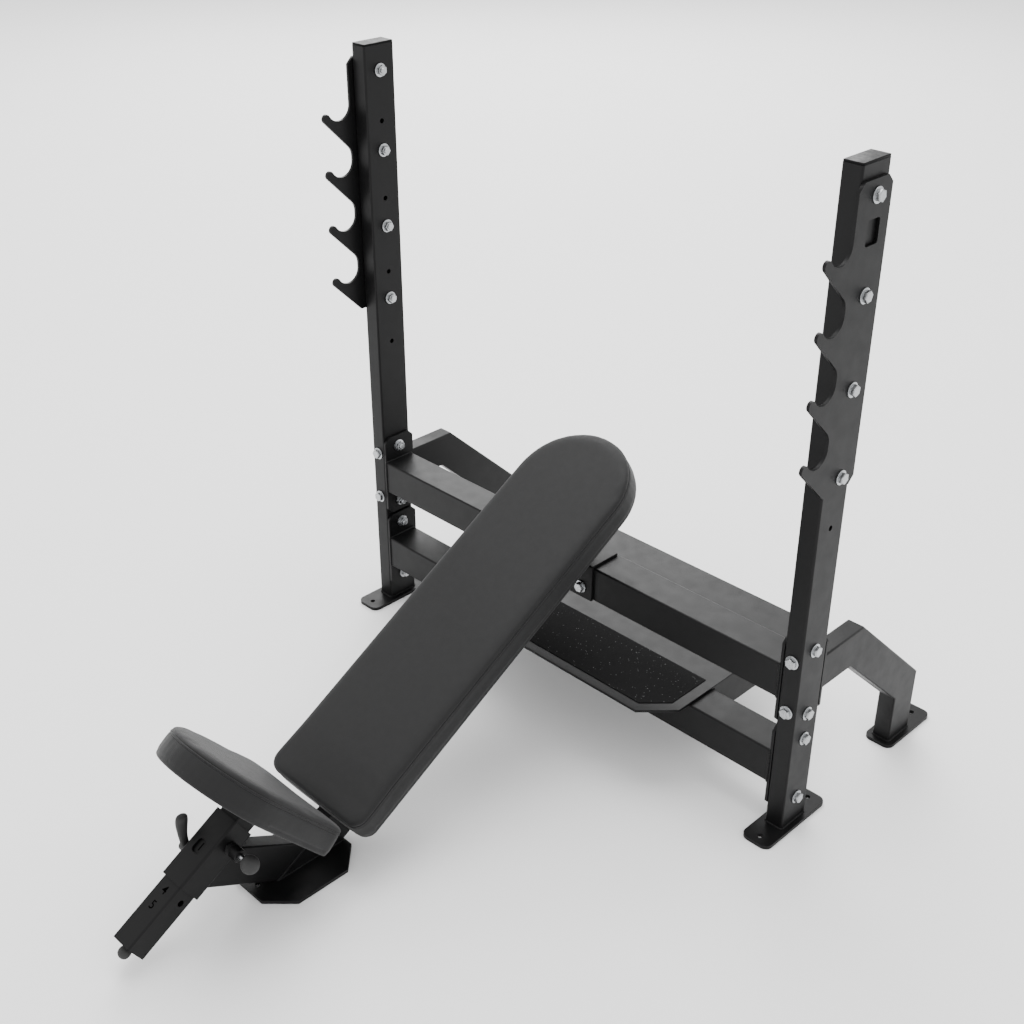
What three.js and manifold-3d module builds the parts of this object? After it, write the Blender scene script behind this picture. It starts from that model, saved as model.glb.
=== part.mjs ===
// Olympic incline bench press: two uprights with hook plates, joined by crossmembers, rear legs,
// a spotter platform, and a fixed 30 degree back pad with a seat that slides on a numbered post.
// Millimetres, +Z up, +Y towards the rear, +X to the right as seen from the seat's end.
// Everything is drawn about the plane of the uprights (Y = 0), then the whole bench is moved so
// that its box is centred on X = Y = 0 with the floor at Z = 0.
import * as THREE from 'three';
import { mergeVertices } from 'three/addons/utils/BufferGeometryUtils.js';
import Module from 'manifold-3d';

const wasm = await Module();
wasm.setup();

// ---- driving dimensions -------------------------------------------------------------------
const GAP = 0.3; // between pieces that touch
const WALL = 3; // every steel tube's wall
const PAST = 5; // a cutter runs this far past the surface that it cuts
const INTO = 8; // and this far into a tube when it cuts one wall only
const TUBE = { width: 40, depth: 80, radius: 4 }; // uprights, legs, spine and neck
const CROSS = { width: 80, depth: 80, radius: 4 }; // both crossmembers
const FOOT_THICKNESS = 8;
const FOOT_HALF_WIDTH = 33;
const FOOT_CORNER = 17;
const FLOOR_HOLE = 6;
const FLANGE_THICKNESS = 6;

const UPRIGHT_X = 598; // tube centre
const UPRIGHT_FOOT = { front: -105, rear: 100, holes: [-84, 80] };
const UPRIGHT_HEIGHT = 1360; // floor to the top of the cap
const CAP_THICKNESS = 4;
const PLUG_INSET = 3.5; // from a tube's outside to the sides of its cap's plug
const PLUG_DEPTH = 12;

const RACK_THICKNESS = 6;
const RACK_TOP = 1331;
const RACK_BOTTOM = 775.5;
const RACK_FRONT = -52;
const RACK_REAR = 43;
const RACK_CORNER = 14;
const HOOK_LOWS = [845, 965, 1085, 1205]; // lowest point of each bar cradle
const CRADLE_RADIUS = 30;
const TIP_RADIUS = 9.5;
const TIP_LEAN = THREE.MathUtils.degToRad(31); // from a cradle's centre out to its tip's centre
const RACK_BOLTS = [800, 968, 1136, 1304];
const RACK_WINDOW = { height: 1243, across: 36, rise: 44, corner: 5 }; // a plain slot
const SPARE_HOLE_DROP = 106; // each spare hole is this far below a rack bolt

const CROSS_HEIGHTS = { upper: 354, lower: 145 };
const FLANGE_BOLT_REACH = 74; // bolts above and below a crossmember's centre
const FLANGE_HALF_HEIGHT = 101;
const FLANGE_REAR = 45;
const FLANGE_CORNER = 13;
const FLANGE_VENT = 18; // radius of the hole that vents a crossmember
const LEG_VENT = { radius: 12, height: 355 };

const LEG_PATH = [[48, 355], [161, 355], [392, 140], [392, FOOT_THICKNESS - 1]]; // [y, z]
const LEG_BOLTS = [293, 410];
const LEG_FLANGE = { low: 270, high: 432, thickness: 6, corner: 6 };
const LEG_FOOT = { front: 338, rear: 507, hole: 480 };

const PLATFORM = { halfWidth: 370, front: -138, rear: 380, corner: 63, thickness: 6 };
const PLATFORM_FLANGE = { start: 42, low: 112, step: 22 };
const GRIP = { halfWidth: 345, front: -115, rear: 44, corner: 49, thickness: 1 };

const INCLINE = THREE.MathUtils.degToRad(30); // spine, back pad, sleeve and post
const SPINE_NORMAL = 387; // distance of the spine's centre line from the origin
const SPINE_END_Y = 30;
const SADDLE = { halfWidth: 97, thickness: 6, rear: 34, boltX: 67, boltZ: 340 };
const FRONT_FOOT = { halfWidth: 90.5, front: -895, rear: -676, corner: 50, hole: -873 };

const PAD_HALF_WIDTH = 139;
const BACK_PAD = { bottom: -567, top: 391, under: 433, board: 12, surface: 493.5 };
const PAD_MOUNTS = [-430, 130]; // along the slope
const PAD_MOUNT = { halfWidth: 110, halfLength: 25, corner: 8, rise: 5.4 };

const POST = { size: 50, radius: 4, low: -974, centre: 617 };
const SLEEVE = { size: 60, radius: 5, low: -838, high: -690 };
const LINER = { outer: 53.4, inner: 50.8 };
const POSITIONS = 5;
const POSITION_PITCH = 32;
const PIN_ALONG = -731.5; // where the pop-pin meets the sleeve
const LEVER_ALONG = -780; // where the clamp screw meets the sleeve
const WINDOW = { along: -763, halfWidth: 12, halfLength: 14, corner: 8 }; // shows one digit

const SEAT_TILT = THREE.MathUtils.degToRad(50);
const SEAT = { rear: -598, length: 343, surface: -481, board: 10, thickness: 59, plate: 5 };
const SEAT_PLATE = { halfWidth: 70, rear: -645, front: -800, corner: 14 };

const BOLT = { shank: 6, hex: 11.2, head: 8, washer: 14.2, washerThickness: 2.5, nut: 9, tail: 4 };
const BOLT_HOLE = 6.5;
const PIN_HOLE = 6.6;
const SPARE_HOLE = 5.5;
const ROUND = 12; // sides of a small round shape

// ---- finishes -----------------------------------------------------------------------------
const finish = (color, roughness, metalness) =>
  new THREE.MeshStandardMaterial({ color, roughness, metalness });
const POWDER = () => finish(0x1c1c1d, 0.5, 0.2);
const ZINC = () => finish(0xc9cbcc, 0.3, 0.9);
const VINYL = () => finish(0x232323, 0.6, 0);
const RUBBER = () => finish(0x141414, 0.8, 0);
const PLASTIC = () => finish(0x101010, 0.45, 0);
const PLYWOOD = () => finish(0xa07c50, 0.7, 0);

// ---- directions ---------------------------------------------------------------------------
const X = new THREE.Vector3(1, 0, 0);
const Y = new THREE.Vector3(0, 1, 0);
const Z = new THREE.Vector3(0, 0, 1);
const UP_SLOPE = new THREE.Vector3(0, Math.cos(INCLINE), Math.sin(INCLINE));
const OFF_SLOPE = new THREE.Vector3(0, -Math.sin(INCLINE), Math.cos(INCLINE));

// A point of the plane X = 0, given along the slope and off it.
const onSlope = (along, off) =>
  UP_SLOPE.clone().multiplyScalar(along).addScaledVector(OFF_SLOPE, off);

// ---- solids -------------------------------------------------------------------------------
function toSolid(geometry) {
  const bare = geometry.clone();
  bare.deleteAttribute('normal');
  bare.deleteAttribute('uv');
  const merged = mergeVertices(bare, 1e-4);
  const triVerts = new Uint32Array(merged.index.array);
  return new wasm.Manifold(
    new wasm.Mesh({ numProp: 3, vertProperties: merged.attributes.position.array, triVerts })
  );
}

function toGeometry(solid) {
  const mesh = solid.getMesh();
  const geometry = new THREE.BufferGeometry();
  geometry.setAttribute('position', new THREE.BufferAttribute(mesh.vertProperties, 3));
  geometry.setIndex(new THREE.BufferAttribute(mesh.triVerts, 1));
  geometry.computeVertexNormals();
  return geometry;
}

const joined = (geometries) =>
  toGeometry(geometries.map(toSolid).reduce((whole, next) => whole.add(next)));

const cut = (geometry, tools) =>
  toGeometry(tools.map(toSolid).reduce((rest, tool) => rest.subtract(tool), toSolid(geometry)));

// ---- flat outlines ------------------------------------------------------------------------
function roundedRect(left, bottom, right, top, radius) {
  const shape = new THREE.Shape();
  shape.absarc(right - radius, bottom + radius, radius, -Math.PI / 2, 0);
  shape.absarc(right - radius, top - radius, radius, 0, Math.PI / 2);
  shape.absarc(left + radius, top - radius, radius, Math.PI / 2, Math.PI);
  shape.absarc(left + radius, bottom + radius, radius, Math.PI, 1.5 * Math.PI);
  shape.closePath();
  return shape;
}

const polygon = (points) => new THREE.Shape(points.map(([x, y]) => new THREE.Vector2(x, y)));

function chamferedRect(left, bottom, right, top, corner) {
  return polygon([
    [left + corner, bottom],
    [right - corner, bottom],
    [right, bottom + corner],
    [right, top - corner],
    [right - corner, top],
    [left + corner, top],
    [left, top - corner],
    [left, bottom + corner],
  ]);
}

// ---- extrusions ---------------------------------------------------------------------------
const extrude = (shape, depth, curveSegments = 4) =>
  new THREE.ExtrudeGeometry(shape, { depth, bevelEnabled: false, curveSegments });

// An outline in (Y, Z), from one X to another.
function alongX(shape, from, to, curveSegments) {
  const geometry = extrude(shape, to - from, curveSegments);
  geometry.applyMatrix4(new THREE.Matrix4().makeBasis(Y, Z, X));
  return geometry.translate(from, 0, 0);
}

// An outline in (X, Z), from one Y to another.
function alongY(shape, from, to, curveSegments) {
  const geometry = extrude(shape, to - from, curveSegments);
  geometry.applyMatrix4(new THREE.Matrix4().makeBasis(X, Z, Y.clone().negate()));
  return geometry.translate(0, to, 0);
}

// An outline in (X, Y), from one Z to another.
const alongZ = (shape, from, to, curveSegments) =>
  extrude(shape, to - from, curveSegments).translate(0, 0, from);

function box(low, high) {
  const size = high.map((value, i) => value - low[i]);
  const centre = high.map((value, i) => (value + low[i]) / 2);
  return new THREE.BoxGeometry(...size).translate(...centre);
}

function rod(axis, from, to, radius, centre = [0, 0, 0], sides = ROUND) {
  const geometry = new THREE.CylinderGeometry(radius, radius, to - from, sides);
  geometry.translate(0, (from + to) / 2, 0);
  geometry.applyQuaternion(new THREE.Quaternion().setFromUnitVectors(Y, axis));
  return geometry.translate(...centre);
}

// The section of a rectangular tube, with its inside when it has a wall.
function tubeSection({ width, depth, radius }, wall = WALL) {
  const section = roundedRect(-width / 2, -depth / 2, width / 2, depth / 2, radius);
  if (wall > 0) {
    const [w, d] = [width / 2 - wall, depth / 2 - wall];
    section.holes.push(roundedRect(-w, -d, w, d, Math.max(radius - wall, 1)));
  }
  return section;
}

// A tube along a path that stays in one plane. Its section's first axis is side, which is
// square to that plane. Inner corners are mitred; the ends are cut square to startCut and endCut.
function tubeAlong(path, section, side, startCut, endCut) {
  const steps = path.length - 1;
  const geometry = new THREE.ExtrudeGeometry(section, {
    depth: steps,
    steps,
    bevelEnabled: false,
    curveSegments: 3,
  });
  const runs = path.slice(1).map((point, i) => point.clone().sub(path[i]).normalize());
  const cuts = path.map((point, i) => {
    if (i === 0) return startCut ?? runs[0];
    if (i === steps) return endCut ?? runs[steps - 1];
    return runs[i - 1].clone().add(runs[i]).normalize();
  });
  const vertices = geometry.attributes.position;
  for (let i = 0; i < vertices.count; i += 1) {
    const ring = Math.round(vertices.getZ(i));
    const run = runs[Math.min(ring, steps - 1)];
    const lift = run.clone().cross(side);
    const offset = side.clone().multiplyScalar(vertices.getX(i));
    offset.addScaledVector(lift, vertices.getY(i));
    offset.addScaledVector(run, -offset.dot(cuts[ring]) / run.dot(cuts[ring]));
    offset.add(path[ring]);
    vertices.setXYZ(i, offset.x, offset.y, offset.z);
  }
  return geometry;
}

// ---- scene graph helpers ------------------------------------------------------------------
const bench = new THREE.Group();
const slope = new THREE.Group(); // local Y runs up the slope, local Z off it
slope.rotation.x = INCLINE;
const seat = new THREE.Group(); // local Y runs down the seat towards its rear, local Z off it
seat.rotation.x = -SEAT_TILT;
bench.add(slope, seat);

function add(parent, name, geometry, material) {
  const mesh = new THREE.Mesh(geometry, material);
  mesh.name = name;
  parent.add(mesh);
  return mesh;
}

// The same geometry on the other side of the plane X = 0.
function mirrored(geometry) {
  const copy = geometry.index ? geometry.toNonIndexed() : geometry.clone();
  const vertices = copy.attributes.position;
  for (let i = 0; i < vertices.count; i += 3) {
    const [a, b, c] = [0, 1, 2].map((k) => new THREE.Vector3().fromBufferAttribute(vertices, i + k));
    vertices.setXYZ(i, -a.x, a.y, a.z);
    vertices.setXYZ(i + 1, -c.x, c.y, c.z);
    vertices.setXYZ(i + 2, -b.x, b.y, b.z);
  }
  copy.computeVertexNormals();
  return copy;
}

// One piece on the right and its mirror image on the left.
function addPair(name, geometry, material) {
  add(bench, `${name}_right`, geometry, material());
  add(bench, `${name}_left`, mirrored(geometry), material());
}

// ---- bolts --------------------------------------------------------------------------------
// A hexagon bolt with its washers and nut. The head is outside the far face, the nut outside the
// near one, and both faces are given along the axis.
function bolt(axis, near, far, centre) {
  const washers = BOLT.washerThickness;
  const bury = 0.5; // how far neighbouring parts of the bolt reach into each other
  return joined([
    rod(axis, near - washers - BOLT.nut - BOLT.tail, far + washers + bury, BOLT.shank, centre, 10),
    rod(axis, near - GAP - washers, near - GAP, BOLT.washer, centre, 16),
    rod(axis, far + GAP, far + GAP + washers, BOLT.washer, centre, 16),
    rod(axis, near - washers - BOLT.nut, near - washers, BOLT.hex, centre, 6),
    rod(axis, far + washers, far + washers + BOLT.head, BOLT.hex, centre, 6),
  ]);
}

// ---- uprights -----------------------------------------------------------------------------
const UPRIGHT_INNER = UPRIGHT_X - TUBE.width / 2;
const UPRIGHT_OUTER = UPRIGHT_X + TUBE.width / 2;
const UPRIGHT_FACE = TUBE.depth / 2; // front and rear faces are this far from Y = 0

const flangeBoltHeights = Object.values(CROSS_HEIGHTS).flatMap((height) => [
  height - FLANGE_BOLT_REACH,
  height + FLANGE_BOLT_REACH,
]);

function upright() {
  const bottom = new THREE.Vector3(UPRIGHT_X, 0, FOOT_THICKNESS + GAP);
  const top = new THREE.Vector3(UPRIGHT_X, 0, UPRIGHT_HEIGHT - CAP_THICKNESS - GAP);
  const tube = tubeAlong([bottom, top], tubeSection(TUBE), X);
  const spares = RACK_BOLTS.map((height) => height - SPARE_HOLE_DROP);
  const across = [...RACK_BOLTS, ...flangeBoltHeights].map((height) =>
    rod(X, UPRIGHT_INNER - PAST, UPRIGHT_OUTER + PAST, BOLT_HOLE, [0, 0, height])
  );
  const spareHoles = spares.map((height) =>
    rod(X, UPRIGHT_INNER - PAST, UPRIGHT_OUTER + PAST, SPARE_HOLE, [0, 0, height])
  );
  const through = LEG_BOLTS.map((height) =>
    rod(Y, -UPRIGHT_FACE - PAST, UPRIGHT_FACE + PAST, BOLT_HOLE, [UPRIGHT_X, 0, height])
  );
  return cut(tube, [...across, ...spareHoles, ...through]);
}

function uprightFoot() {
  const [left, right] = [UPRIGHT_X - FOOT_HALF_WIDTH, UPRIGHT_X + FOOT_HALF_WIDTH];
  const outline = roundedRect(left, UPRIGHT_FOOT.front, right, UPRIGHT_FOOT.rear, FOOT_CORNER);
  for (const hole of UPRIGHT_FOOT.holes) {
    const circle = new THREE.Path();
    circle.absarc(UPRIGHT_X, hole, FLOOR_HOLE, 0, 2 * Math.PI);
    outline.holes.push(circle);
  }
  return alongZ(outline, 0, FOOT_THICKNESS, 5);
}

function uprightCap() {
  const plate = roundedRect(-TUBE.width / 2, -UPRIGHT_FACE, TUBE.width / 2, UPRIGHT_FACE, 5);
  const [halfWidth, halfDepth] = [TUBE.width / 2 - PLUG_INSET, TUBE.depth / 2 - PLUG_INSET];
  const plug = roundedRect(-halfWidth, -halfDepth, halfWidth, halfDepth, 2);
  const cap = joined([
    alongZ(plate, UPRIGHT_HEIGHT - CAP_THICKNESS, UPRIGHT_HEIGHT),
    alongZ(plug, UPRIGHT_HEIGHT - CAP_THICKNESS - PLUG_DEPTH, UPRIGHT_HEIGHT - 1),
  ]);
  return cap.translate(UPRIGHT_X, 0, 0);
}

// ---- rack plates --------------------------------------------------------------------------
// The outline runs down the front edge, round each hook, and back up the rear edge.
function rackOutline() {
  const shape = new THREE.Shape();
  const reach = CRADLE_RADIUS + TIP_RADIUS;
  const fillet = 30;
  const filletRise = fillet * Math.tan(Math.PI / 8);
  shape.moveTo(RACK_REAR, RACK_TOP - RACK_CORNER);
  shape.lineTo(RACK_REAR - RACK_CORNER, RACK_TOP);
  shape.lineTo(RACK_FRONT + RACK_CORNER, RACK_TOP);
  shape.lineTo(RACK_FRONT, RACK_TOP - RACK_CORNER);
  for (const low of [...HOOK_LOWS].reverse()) {
    const cradle = [RACK_FRONT - CRADLE_RADIUS, low + CRADLE_RADIUS];
    const tip = [cradle[0] - reach * Math.cos(TIP_LEAN), cradle[1] - reach * Math.sin(TIP_LEAN)];
    const slopeEnd = tip[1] - TIP_RADIUS * Math.SQRT2 - (RACK_FRONT - tip[0]);
    shape.absarc(...cradle, CRADLE_RADIUS, 0, -(Math.PI - TIP_LEAN), true);
    shape.absarc(...tip, TIP_RADIUS, TIP_LEAN, 1.25 * Math.PI);
    if (low === HOOK_LOWS[0]) {
      shape.lineTo(RACK_FRONT + slopeEnd - RACK_BOTTOM, RACK_BOTTOM);
    } else {
      const centre = [RACK_FRONT - fillet, slopeEnd - filletRise];
      shape.absarc(...centre, fillet, Math.PI / 4, 0, true);
    }
  }
  shape.lineTo(RACK_REAR - RACK_CORNER, RACK_BOTTOM);
  shape.lineTo(RACK_REAR, RACK_BOTTOM + RACK_CORNER);
  shape.closePath();
  return shape;
}

function rackPlate() {
  const from = UPRIGHT_OUTER + GAP;
  const plate = alongX(rackOutline(), from, from + RACK_THICKNESS, 7);
  const holes = RACK_BOLTS.map((height) =>
    rod(X, from - PAST, from + RACK_THICKNESS + PAST, BOLT_HOLE, [0, 0, height])
  );
  const { height: middle, across, rise, corner } = RACK_WINDOW;
  const [low, high] = [middle - rise / 2, middle + rise / 2];
  const outline = roundedRect(-across / 2, low, across / 2, high, corner);
  const window = alongX(outline, from - PAST, from + RACK_THICKNESS + PAST, 3);
  return cut(plate, [...holes, window]);
}

// ---- crossmembers -------------------------------------------------------------------------
// A square tube with a bolting flange welded on each end. Each flange has a vent hole.
function crossmember(height, extraHoles = []) {
  const outer = UPRIGHT_INNER - GAP;
  const inner = outer - FLANGE_THICKNESS;
  const ends = [-inner - 1, inner + 1].map((x) => new THREE.Vector3(x, 0, height));
  const tube = tubeAlong(ends, tubeSection(CROSS), Y);
  const [low, high] = [height - FLANGE_HALF_HEIGHT, height + FLANGE_HALF_HEIGHT];
  const flange = alongX(chamferedRect(-UPRIGHT_FACE, low, FLANGE_REAR, high, FLANGE_CORNER), inner, outer);
  const bolts = [-FLANGE_BOLT_REACH, FLANGE_BOLT_REACH].map((offset) =>
    rod(X, -outer - PAST, outer + PAST, BOLT_HOLE, [0, 0, height + offset])
  );
  const vent = rod(X, -outer - PAST, outer + PAST, FLANGE_VENT, [0, 0, height]);
  return cut(joined([tube, flange, mirrored(flange)]), [...bolts, vent, ...extraHoles]);
}

// ---- rear legs ----------------------------------------------------------------------------
// A mitred tube with a bolting flange at its front end and a floor plate at its foot.
function rearLeg() {
  const start = UPRIGHT_FACE + GAP;
  const path = LEG_PATH.map(([y, z]) => new THREE.Vector3(UPRIGHT_X, y, z));
  path[0].y = start + LEG_FLANGE.thickness - 1;
  const tube = tubeAlong(path, tubeSection(TUBE), X);
  const half = TUBE.width / 2;
  const { low, high, corner } = LEG_FLANGE;
  const flange = alongY(
    chamferedRect(UPRIGHT_X - half, low, UPRIGHT_X + half, high, corner),
    start,
    start + LEG_FLANGE.thickness
  );
  const [left, right] = [UPRIGHT_X - FOOT_HALF_WIDTH, UPRIGHT_X + FOOT_HALF_WIDTH];
  const footOutline = roundedRect(left, LEG_FOOT.front, right, LEG_FOOT.rear, FOOT_CORNER);
  const foot = alongZ(footOutline, 0, FOOT_THICKNESS, 5);
  const bolts = LEG_BOLTS.map((height) =>
    rod(Y, start - PAST, start + LEG_FLANGE.thickness + PAST, BOLT_HOLE, [UPRIGHT_X, 0, height])
  );
  const { radius, height: ventHeight } = LEG_VENT;
  const through = start + LEG_FLANGE.thickness + PAST;
  const vent = rod(Y, start - PAST, through, radius, [UPRIGHT_X, 0, ventHeight]);
  const floorHole = rod(Z, -5, FOOT_THICKNESS + PAST, FLOOR_HOLE, [UPRIGHT_X, LEG_FOOT.hole, 0]);
  return cut(joined([tube, flange, foot]), [...bolts, vent, floorHole]);
}

// ---- spotter platform ---------------------------------------------------------------------
function cornered({ halfWidth, front, rear, corner }) {
  return polygon([
    [-halfWidth + corner, front],
    [halfWidth - corner, front],
    [halfWidth, front + corner],
    [halfWidth, rear],
    [-halfWidth, rear],
    [-halfWidth, front + corner],
  ]);
}

const PLATFORM_UNDER = CROSS_HEIGHTS.lower + CROSS.depth / 2 + GAP;
const PLATFORM_TOP = PLATFORM_UNDER + PLATFORM.thickness;

// A plate folded down at both sides behind the lower crossmember.
function platform() {
  const { halfWidth, rear, thickness } = PLATFORM;
  const { start, low, step } = PLATFORM_FLANGE;
  const top = alongZ(cornered(PLATFORM), PLATFORM_UNDER, PLATFORM_TOP);
  const outline = polygon([
    [start, PLATFORM_TOP - 1],
    [start, PLATFORM_UNDER - step],
    [start + step, low],
    [rear, low],
    [rear, PLATFORM_TOP - 1],
  ]);
  const side = alongX(outline, halfWidth - thickness, halfWidth);
  return joined([top, side, mirrored(side)]);
}

const platformGrip = () =>
  alongZ(cornered(GRIP), PLATFORM_TOP + GAP, PLATFORM_TOP + GAP + GRIP.thickness);

// ---- spine, saddle, neck and front foot ---------------------------------------------------
const CROSS_TOP = CROSS_HEIGHTS.upper + CROSS.depth / 2;
const SADDLE_TOP = CROSS_TOP + GAP + SADDLE.thickness;
const SADDLE_FRONT = -CROSS.width / 2 - GAP - SADDLE.thickness;

function spine() {
  const floor = FOOT_THICKNESS + GAP;
  const start = (floor - SPINE_NORMAL * Math.cos(INCLINE)) / Math.sin(INCLINE);
  const end = (SPINE_END_Y + SPINE_NORMAL * Math.sin(INCLINE)) / Math.cos(INCLINE);
  const path = [onSlope(start, SPINE_NORMAL), onSlope(end, SPINE_NORMAL)];
  const tube = tubeAlong(path, tubeSection(TUBE), X, Z, Y);
  const overSaddle = box([-30, SADDLE_FRONT - GAP, 250], [30, 60, SADDLE_TOP + GAP]);
  return cut(tube, [overSaddle]);
}

// An angle that hugs the front and the top of the upper crossmember.
function saddle() {
  const { halfWidth, thickness, boltX, boltZ } = SADDLE;
  const inner = -CROSS.width / 2 - GAP;
  const bottom = CROSS_TOP - CROSS.depth;
  const profile = polygon([
    [SADDLE_FRONT, bottom],
    [inner, bottom],
    [inner, CROSS_TOP + GAP],
    [SADDLE.rear, CROSS_TOP + GAP],
    [SADDLE.rear, SADDLE_TOP],
    [SADDLE_FRONT + 3, SADDLE_TOP],
    [SADDLE_FRONT, SADDLE_TOP - 3],
  ]);
  const angle = alongX(profile, -halfWidth, halfWidth);
  const holes = [-boltX, boltX].map((x) =>
    rod(Y, SADDLE_FRONT - thickness, inner + thickness, BOLT_HOLE, [x, 0, boltZ])
  );
  return cut(angle, holes);
}

// A short tube from the spine's foot forward and up to the underside of the sleeve.
function neck() {
  const centre = -375; // distance of its centre line from the origin, square to its own run
  const point = (off) =>
    new THREE.Vector3(0, centre - off, (centre + off) / (2 * Math.cos(INCLINE)));
  const sleeveUnder = POST.centre - SLEEVE.size / 2 - GAP;
  const spineTop = SPINE_NORMAL + TUBE.depth / 2 + GAP;
  const path = [point(sleeveUnder), point(spineTop)];
  const tube = tubeAlong(path, tubeSection(TUBE), X, OFF_SLOPE, OFF_SLOPE);
  const floor = box([-30, -900, -20], [30, -760, FOOT_THICKNESS + GAP]);
  return cut(tube, [floor]);
}

function frontFoot() {
  const { halfWidth, front, rear, corner, hole } = FRONT_FOOT;
  const outline = chamferedRect(-halfWidth, front, halfWidth, rear, corner);
  const circle = new THREE.Path();
  circle.absarc(0, hole, FLOOR_HOLE, 0, 2 * Math.PI);
  outline.holes.push(circle);
  return alongZ(outline, 0, FOOT_THICKNESS, 5);
}

// ---- pads ---------------------------------------------------------------------------------
// Half round at one end, square with rounded corners at the other, in (X, Y).
function padOutline(squareEnd, roundEnd, inset, corner) {
  const half = PAD_HALF_WIDTH - inset;
  const sign = Math.sign(roundEnd - squareEnd);
  const square = squareEnd + sign * inset;
  const middle = roundEnd - sign * PAD_HALF_WIDTH;
  const shape = new THREE.Shape();
  const turn = sign > 0 ? 0 : Math.PI;
  shape.absarc(0, middle, half, turn, turn + Math.PI);
  const side = sign > 0 ? -1 : 1; // which edge the half round ends on
  const start = new THREE.Vector2(side * (half - corner), square + sign * corner);
  const finishX = -side * (half - corner);
  shape.absarc(start.x, start.y, corner, turn + Math.PI, turn + 1.5 * Math.PI);
  shape.absarc(finishX, start.y, corner, turn + 1.5 * Math.PI, turn + 2 * Math.PI);
  shape.closePath();
  return shape;
}

// A slab in a pad's outline, between two heights. The rim is softened at its top or underside.
function slab(squareEnd, roundEnd, low, high, { inset = 0, corner, topRim = 0, underRim = 0 }) {
  const rim = Math.max(topRim, underRim);
  const spare = 2 * rim; // the far end's rim, which is cut away
  const [bottom, top] = [low - (topRim ? spare : 0), high + (underRim ? spare : 0)];
  const outline = padOutline(squareEnd, roundEnd, inset + rim, corner - rim);
  const geometry = new THREE.ExtrudeGeometry(outline, {
    depth: top - bottom - 2 * rim,
    bevelThickness: rim,
    bevelSize: rim,
    bevelSegments: 2,
    curveSegments: 12,
  });
  geometry.translate(0, 0, bottom + rim);
  const reach = 1200;
  const cutFrom = topRim ? bottom - rim : high;
  const cutTo = topRim ? low : top + rim;
  return cut(geometry, [box([-reach, -reach, cutFrom], [reach, reach, cutTo])]);
}

function padMount(along) {
  const { halfWidth, halfLength, corner } = PAD_MOUNT;
  const [from, to] = [along - halfLength, along + halfLength];
  const outline = roundedRect(-halfWidth, from, halfWidth, to, corner);
  return alongZ(outline, BACK_PAD.under - PAD_MOUNT.rise, BACK_PAD.under - GAP, 2);
}

const CUSHION = { corner: 30, topRim: 7 };
const BOARD = { corner: 28, inset: 1.5, underRim: 4 };

function backPadBoard() {
  const { bottom, top, under, board } = BACK_PAD;
  return slab(bottom, top, under, under + board, BOARD);
}

function backPad() {
  const { bottom, top, under, board, surface } = BACK_PAD;
  return slab(bottom, top, under + board + GAP, surface, CUSHION);
}

const SEAT_UNDER = SEAT.surface - SEAT.thickness;
const SEAT_TIP = SEAT.rear - SEAT.length;

const seatPadBoard = () => slab(SEAT.rear, SEAT_TIP, SEAT_UNDER, SEAT_UNDER + SEAT.board, BOARD);

const seatPad = () =>
  slab(SEAT.rear, SEAT_TIP, SEAT_UNDER + SEAT.board + GAP, SEAT.surface, CUSHION);

// ---- sleeve, post and their fittings, all drawn on the slope ------------------------------
const squareTube = (size, radius) => ({ width: size, depth: size, radius });
const onPost = (along) => new THREE.Vector3(0, along, POST.centre);

function slideTube(size, radius, wall, from, to) {
  return tubeAlong([onPost(from), onPost(to)], tubeSection(squareTube(size, radius), wall), X);
}

// A hole for the pop-pin's tip, in a wall square to X.
const pinCutter = (from, to, along = PIN_ALONG) =>
  rod(X, from, to, PIN_HOLE, [0, along, POST.centre + PIN_OFFSET]);

function windowCut(top) {
  const { along, halfWidth, halfLength, corner } = WINDOW;
  const [from, to] = [along - halfLength, along + halfLength];
  const outline = roundedRect(-halfWidth, from, halfWidth, to, corner);
  return alongZ(outline, top - INTO, top + PAST, 3);
}

function sleeve() {
  const tube = slideTube(SLEEVE.size, SLEEVE.radius, WALL, SLEEVE.low, SLEEVE.high);
  const half = SLEEVE.size / 2;
  return cut(tube, [
    pinCutter(half - INTO, half + PAST),
    rod(X, -half - PAST, -half + INTO, PIN_HOLE, [0, LEVER_ALONG, POST.centre]),
    windowCut(POST.centre + half),
  ]);
}

function liner() {
  const wall = (LINER.outer - LINER.inner) / 2;
  const tube = slideTube(LINER.outer, 3, wall, SLEEVE.low + 1, SLEEVE.high - 1);
  return cut(tube, [
    pinCutter(LINER.inner / 2 - PAST, LINER.outer / 2 + PAST),
    windowCut(POST.centre + LINER.outer / 2),
  ]);
}

// Unit normal of the seat, in slope coordinates.
const SEAT_NORMAL = new THREE.Vector3(0, Math.sin(SEAT_TILT), Math.cos(SEAT_TILT)).applyAxisAngle(
  X,
  -INCLINE
);
const POST_TOP =
  (SEAT_UNDER - SEAT.plate - 2 * GAP - SEAT_NORMAL.z * POST.centre) / SEAT_NORMAL.y;

// The post's numbered positions are holes in its right wall.
function post() {
  const section = tubeSection(squareTube(POST.size, POST.radius));
  const path = [onPost(POST.low), onPost(POST_TOP)];
  const tube = tubeAlong(path, section, X, undefined, SEAT_NORMAL);
  const half = POST.size / 2;
  const holes = Array.from({ length: POSITIONS }, (_, i) =>
    pinCutter(half - INTO, half + PAST, PIN_ALONG - i * POSITION_PITCH)
  );
  const plugHole = rod(X, half - INTO, half + PAST, 2.5, [0, POST.low + 10, POST.centre - 21]);
  return cut(tube, [...holes, plugHole]);
}

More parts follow.
